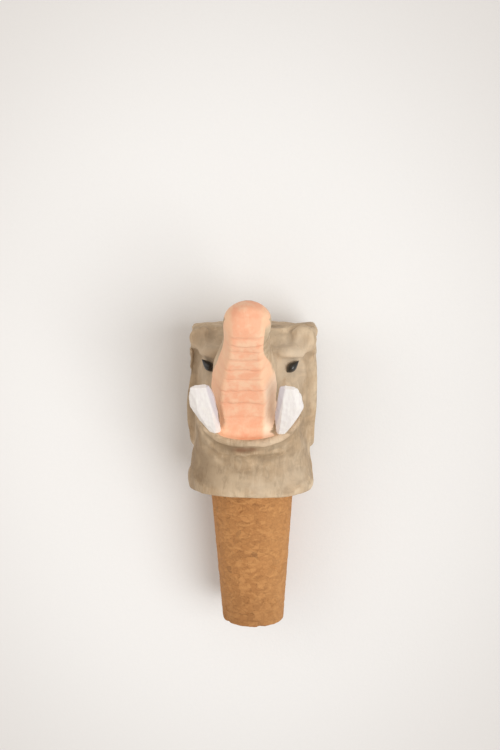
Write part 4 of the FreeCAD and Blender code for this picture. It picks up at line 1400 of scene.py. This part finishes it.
class STOPPER_OT_head(bpy.types.Operator):
    """Carve the head and the trunk from joined surfaces, and paint them"""
    bl_idname = "stopper.head"
    bl_label = "Carved Head"

    def execute(self, context):
        s = settings()
        mesh = joined_by_voxels(upright_mesh("carved_forms", self.surfaces()), s.head_voxel)
        edges = mesh_edges(mesh)
        set_mesh_points(mesh, smoothed(mesh_points(mesh), edges, JOIN_ROUNDS))
        upright = stand_up(mesh_points(mesh))
        push = carved_forms(upright) * MM
        points = mesh_points(mesh) + mesh_normals(mesh) * push[:, None]
        points = smoothed(points, edges, FORM_ROUNDS)
        set_mesh_points(mesh, points)

        normals = mesh_normals(mesh)
        trunk = trunk_coordinates(stand_up(points))
        cuts = knife_cuts(points / MM, normals, np.array(HEAD_STROKE), s.cut_size / MM,
                          s.cut_dish, s.seed)
        strength = self.cut_strength(upright, trunk, sunk(points, normals, edges))
        raised = smoothed(cuts * smoothed(strength, edges, STRENGTH_ROUNDS), edges, CUT_ROUNDS)
        points = points + normals * ((raised - CUT_MIDDLE) * MM)[:, None]
        points = smoothed(points, edges, CUT_ROUNDS, LAST_SHARE)
        points[:, 2] = np.maximum(points[:, 2], 0.0)
        set_mesh_points(mesh, points)

        low, high = np.percentile(raised, RIDGE_PERCENTS)
        # How sunk each point lies, which darkens the hollows with gathered wash and painted shade.
        hollow = smoothed(sunk(points, normals, edges), edges, HOLLOW_ROUNDS) / HOLLOW_DEPTH
        store(mesh, "ridge", np.clip((raised - low) / (high - low), 0, 1))
        store(mesh, "hollow", np.clip(hollow, 0, 1))
        store(mesh, "trunk", trunk)
        self.store_marks(mesh, stand_up(points))
        make_piece("carved_elephant_head", mesh, painted_wood(), ("carved_head",))
        return {"FINISHED"}

    def surfaces(self):
        """The closed surfaces that the head is joined from, which overlap."""
        surfaces = [stacked_surface(HEAD_SECTIONS), stacked_surface(CHIN_SECTIONS, soft=3),
                    trunk_surface(), lip_surface()]
        for side in (1, -1):
            surfaces.append(ear_surface(side))
            for middle, radii, angle in ROUND_FORMS.values():
                turn = rotation(1, side * angle)
                surfaces.append(ball_surface(at_side(middle, side), radii, turn))
        return surfaces

    def cut_strength(self, upright, trunk, bend):
        """The share of the knife cuts that shows: less on the trunk, in bends and at the collar."""
        on_trunk = (trunk[:, 2] < ON_TRUNK[1]) & (trunk[:, 0] > ON_TRUNK[0])
        weaker, start = BEND_WEAKER
        strength = np.where(on_trunk, TRUNK_CUTS, 1.0)
        strength = strength * (1 - weaker * np.clip(np.abs(bend) / BEND_HEIGHT - start, 0, 1))
        calm, middle, radii = COLLAR_CALM
        return strength * (1 - calm * hill(upright, middle, radii))

    def store_marks(self, mesh, upright):
        """Stores the lip's wear and painted highlight, and bells of painted light, painted shade
        and stain.

        A mark on all sides lies at the left and the right, in front and behind.
        """
        x, y, z = np.moveaxis(upright, -1, 0)
        # The lip's worn paint and painted highlight, stronger at the right, towards the lamp.
        over, half_height, half_depth = LIP_WEAR_AND_SHEEN
        lip_height = np.interp(np.abs(x), LIP_LINE[:, 0], LIP_LINE[:, 2])
        lip_reach = np.interp(np.abs(x), LIP_LINE[:, 0], LIP_LINE[:, 1])
        off = np.hypot((z - lip_height - over) / half_height, (y + lip_reach) / half_depth)
        to_right = LIP_WEAR_AND_SHEEN_LEFT + (1 - LIP_WEAR_AND_SHEEN_LEFT) * rises(x, *LIP_WEAR_AND_SHEEN_RIGHT)
        store(mesh, "lip", np.exp(-off ** 4) * to_right)
        mirrored = np.abs(upright) * (1, -1, 1)
        for name, marks in WASH_MARKS.items():
            total = sum(share * hill(mirrored if all_sides else upright, middle, radii)
                        for share, all_sides, middle, radii in marks)
            store(mesh, name, np.clip(total, 0, 1))


class STOPPER_OT_eyes(bpy.types.Operator):
    """Lay gloss black paint on the two carved eyes"""
    bl_idname = "stopper.eyes"
    bl_label = "Eyes"

    def execute(self, context):
        material = eye_paint()
        for side, name in ((1, "right"), (-1, "left")):
            turn = rotation(1, side * (math.pi / 2 - EYE_SLANT))
            middle = at_side(EYE_PLACE, side) + (0.0, EYE_SET_BACK, 0.0)
            mesh = upright_mesh(f"eye_{name}", [almond_surface(middle, EYE_RADII, turn)])
            make_piece(f"eye_paint_{name}", mesh, material)
        return {"FINISHED"}


def tusk_turn(side):
    """The tusk's turn: it leans to the front and then splays to its side."""
    return rotation(0, TUSK_LEAN) @ rotation(1, side * TUSK_SPLAY)


def tusk_surfaces(side, rings=90, per_side=9, soft=21, peg_around=32, peg_rows=12):
    """Octagons along the tusk, straight between softened sections, and the peg in its hole.

    Each corner's share of the half width, plus the bow, goes outwards, and its share of the half
    depth to the front. The belly adds a bell to the width and the bow.
    """
    share = np.linspace(0, 1, rings)
    wide, deep, bow = soft_columns(TUSK_SECTIONS[:, 1:], TUSK_SECTIONS[:, 0], share, soft)
    middle, half, more_width, more_bow = TUSK_BELLY
    belly = band(share, middle, half)
    wide, bow = wide + more_width * belly, bow + more_bow * belly
    if side < 0:
        start, more_width, more_bow = LEFT_TUSK_BLUNT
        blunt = np.clip((share - start) / (1 - start), 0, 1)
        wide, bow = wide + more_width * blunt ** 2, bow + more_bow * blunt
    wide, deep, bow = wide * TUSK_HALF_WIDTH, deep * TUSK_HALF_DEPTH, bow * TUSK_HALF_WIDTH
    outline = along_corners(TUSK_CORNERS, per_side)
    x = side * (outline[:, 0][None] * wide[:, None] + bow[:, None])
    y = outline[:, 1][None] * deep[:, None]
    z = np.broadcast_to((share * TUSK_LENGTH)[:, None], x.shape)
    blade = np.stack((x, y, z), axis=-1)
    radius, deep_in, inside = TUSK_PEG
    angle = angles(peg_around)[None]
    down = np.linspace(-deep_in, inside, peg_rows)[:, None]
    peg = np.stack((radius * np.cos(angle) + 0 * down, radius * np.sin(angle) + 0 * down,
                    down + 0 * angle), axis=-1)
    turn, root = tusk_turn(side), at_side(TUSK_ROOT, side)
    return [closed_tube(rings @ turn.T + root) for rings in (blade, peg)]


class STOPPER_OT_tusks(bpy.types.Operator):
    """Whittle the two tusks and brush them white"""
    bl_idname = "stopper.tusks"
    bl_label = "Tusks"

    def execute(self, context):
        material = tusk_paint()
        for side, node in ((1, "tusk_right"), (-1, "tusk_left")):
            mesh = joined_by_voxels(upright_mesh(node, tusk_surfaces(side)), TUSK_VOXEL)
            points = smoothed(mesh_points(mesh), mesh_edges(mesh), TUSK_ROUNDS)
            set_mesh_points(mesh, points)
            normals = mesh_normals(mesh)
            cuts = knife_cuts(points / MM, normals, at_side(TUSK_STROKE, side), TUSK_CUT_SIZE,
                              TUSK_CUT_DISH, settings().seed + TUSK_SEED + side)
            push = cuts * TUSK_CUT_SHARE * MM - TUSK_CUT_MIDDLE * MM
            set_mesh_points(mesh, points + normals * push[:, None])
            store(mesh, "ridge", np.clip((cuts - cuts.min()) / np.ptp(cuts), 0, 1))
            # Painted shade on the facets that face the trunk.
            own = (stand_up(points) - at_side(TUSK_ROOT, side)) @ tusk_turn(side)
            edge, soft = TUSK_INNER_EDGE
            towards_trunk = -side * own[:, 0] / TUSK_HALF_WIDTH
            store(mesh, "inner", np.clip((towards_trunk - edge) / soft, 0, 1))
            make_piece(f"whittled_{node}", mesh, material, (node,))
        return {"FINISHED"}


class STOPPER_OT_cork(bpy.types.Operator):
    """Turn the tapered cork, with granules and pits in its surface"""
    bl_idname = "stopper.cork"
    bl_label = "Cork"

    def execute(self, context):
        angle = angles(300)[None]
        radius, height = [column[:, None] for column in self.profile(170).T]
        askew = CORK_ASKEW[0] - CORK_ASKEW[1] * height / CORK_LENGTH
        rings = np.stack((radius * np.cos(angle) + askew, radius * np.sin(angle),
                          height + 0 * angle), axis=-1)
        mesh = upright_mesh("cork", [closed_tube(rings)])
        points = mesh_points(mesh)
        push = self.granules(points / MM) * MM
        set_mesh_points(mesh, points + mesh_normals(mesh) * push[:, None])
        make_piece("tapered_cork", mesh, pressed_cork(), ("cork",))
        return {"FINISHED"}

    def profile(self, rows, cap_rows=40):
        """Radius and height down the cork's side and in across both ends, with quarter-round edges.

        The side runs straight from the seat's radius to the end's. Within an edge's width e of an
        end, at a distance d from it, the radius loses e less the root of e^2 - (e - d)^2.
        """
        top, end = CORK_RADII
        side = np.linspace(0, 1, rows)
        radius = top + (end - top) * side
        height = -CORK_LENGTH * side
        from_end = np.minimum(side, 1 - side) * CORK_LENGTH
        round_part = np.sqrt(np.maximum(CORK_EDGE ** 2 - (CORK_EDGE - from_end) ** 2, 0))
        radius = radius - np.where(from_end < CORK_EDGE, CORK_EDGE - round_part, 0)
        inward = np.linspace(1, CAP_LEAST, cap_rows)
        cap_top = np.stack((radius[0] * inward[::-1], np.zeros(cap_rows)), axis=-1)[:-1]
        cap_end = np.stack((radius[-1] * inward, np.full(cap_rows, -CORK_LENGTH)), axis=-1)[1:]
        return np.concatenate((cap_top, np.stack((radius, height), axis=-1), cap_end))

    def granules(self, points):
        """Each granule stands a little higher or lower, with a pit where some have torn out.

        The nearest of many seeded points gives a granule's height, and the gap between the two
        nearest distances, when small, marks the seam between granules.
        """
        draw = np.random.default_rng(settings().seed + GRANULE_SEED)
        low, high = points.min(axis=0), points.max(axis=0)
        seeds = draw.uniform(low - 1, high + 1, (GRANULES, 3))
        lift = draw.normal(0, GRANULE_LIFT, len(seeds))
        lift[draw.uniform(size=len(seeds)) < TORN_SHARE] = -TORN_DEPTH
        first = np.full(len(points), np.inf)
        second = np.full(len(points), np.inf)
        chosen = np.zeros(len(points))
        order = np.argsort(points[:, 1])
        sorted_y = points[order, 1]
        for k, seed_point in enumerate(seeds):
            start, stop = np.searchsorted(
                sorted_y, (seed_point[1] - GRANULE_REACH, seed_point[1] + GRANULE_REACH))
            near = order[start:stop]
            far = ((points[near] - seed_point) ** 2).sum(axis=1)
            close = far < GRANULE_NEAR
            near, far = near[close], far[close]
            nearest = far < first[near]
            second[near] = np.where(nearest, first[near], np.minimum(second[near], far))
            chosen[near[nearest]] = lift[k]
            first[near[nearest]] = far[nearest]
        gap = np.sqrt(second) - np.sqrt(first)
        seam = band(np.where(np.isfinite(gap), gap, 1), 0, SEAM_WIDTH)
        return chosen - SEAM_DEPTH * seam - GRANULE_SINK


class STOPPER_OT_dowel(bpy.types.Operator):
    """Give the hidden dowel its plain wood"""
    bl_idname = "stopper.dowel"
    bl_label = "Dowel"

    def execute(self, context):
        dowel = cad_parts["dowel"]
        dowel.data.materials.clear()
        dowel.data.materials.append(plain_wood())
        return {"FINISHED"}


class STOPPER_OT_stage(bpy.types.Operator):
    """Set the pale surface, the lamps and the camera"""
    bl_idname = "stopper.stage"
    bl_label = "Stage"

    def execute(self, context):
        s = settings()
        self.camera(context)
        self.floor(context)
        self.lamp(context, "main_lamp", s.main_light, *MAIN_LAMP)
        self.lamp(context, "bounce_lamp", s.bounce_light, *BOUNCE_LAMP)
        self.sky(context, s.sky_light)
        context.scene.view_settings.view_transform = "Standard"
        return {"FINISHED"}

    def camera(self, context):
        """A 50 mm lens looking down from a little to the right and towards the crown."""
        data = bpy.data.cameras.new("camera")
        data.lens = LENS
        data.sensor_fit = "VERTICAL"
        data.sensor_height = SENSOR
        data.sensor_width = SENSOR
        data.clip_start, data.clip_end = CLIP
        camera = bpy.data.objects.new("camera", data)
        context.collection.objects.link(camera)
        lean_x, lean_y = CAMERA_LEAN
        away = Vector((math.tan(lean_x), math.tan(lean_y), 1.0)).normalized()
        camera.location = Vector(lay_down(np.array(AIM))) + away * CAMERA_DISTANCE
        right = (-away).cross(Vector((0, 1, 0))).normalized()
        up = right.cross(-away)
        turned_right = right * math.cos(CAMERA_ROLL) + up * math.sin(CAMERA_ROLL)
        turned_up = up * math.cos(CAMERA_ROLL) - right * math.sin(CAMERA_ROLL)
        camera.rotation_mode = "QUATERNION"
        axes = Matrix((turned_right, turned_up, away)).transposed()
        camera.rotation_quaternion = axes.to_quaternion()
        context.scene.camera = camera

    def floor(self, context):
        """A large flat square at the height that the stopper lies on."""
        size = FLOOR_HALF
        corners = np.array(((-size, -size, 0), (size, -size, 0), (size, size, 0), (-size, size, 0)))
        mesh = make_mesh("floor", [(corners, [np.array(((0, 1, 2, 3),))])])
        mesh.materials.append(pale_floor())
        floor = bpy.data.objects.new("floor", mesh)
        context.collection.objects.link(floor)

    def lamp(self, context, name, power, direction, distance, width, colour):
        """A round soft lamp that shines on the stopper from a direction."""
        data = bpy.data.lights.new(name, "AREA")
        data.shape = "DISK"
        data.size = width
        data.energy = power
        data.color = colour
        lamp = bpy.data.objects.new(name, data)
        context.collection.objects.link(lamp)
        away = Vector(direction).normalized()
        lamp.location = away * distance
        lamp.rotation_mode = "QUATERNION"
        lamp.rotation_quaternion = away.to_track_quat("Z", "Y")

    def sky(self, context, strength):
        """An even pale light from all round."""
        world = bpy.data.worlds.new("pale_room")
        world.use_nodes = True
        sky = world.node_tree.nodes["Background"]
        sky.inputs["Color"].default_value = SKY
        sky.inputs["Strength"].default_value = strength
        context.scene.world = world


class STOPPER_PT_panel(bpy.types.Panel):
    """The stopper's pieces and the stage"""
    bl_label = "Bottle Stopper"
    bl_idname = "STOPPER_PT_panel"
    bl_space_type = "VIEW_3D"
    bl_region_type = "UI"
    bl_category = "Stopper"

    def draw(self, context):
        for name in context.scene.stopper.__annotations__:
            self.layout.prop(context.scene.stopper, name)
        for operator in OPERATORS:
            self.layout.operator(operator.bl_idname)


OPERATORS = (STOPPER_OT_stage, STOPPER_OT_head, STOPPER_OT_eyes, STOPPER_OT_tusks,
             STOPPER_OT_cork, STOPPER_OT_dowel)
CLASSES = (StopperSettings, *OPERATORS, STOPPER_PT_panel)


def register():
    """Registers the classes, and the settings on every scene."""
    for cls in CLASSES:
        bpy.utils.register_class(cls)
    bpy.types.Scene.stopper = PointerProperty(type=StopperSettings)


def unregister():
    """Takes the settings and the classes away again."""
    del bpy.types.Scene.stopper
    for cls in reversed(CLASSES):
        bpy.utils.unregister_class(cls)


def main():
    """Makes the stage and every piece."""
    register()
    for operator in OPERATORS:
        group, name = operator.bl_idname.split(".")
        getattr(getattr(bpy.ops, group), name)()


if __name__ == "__main__":
    main()
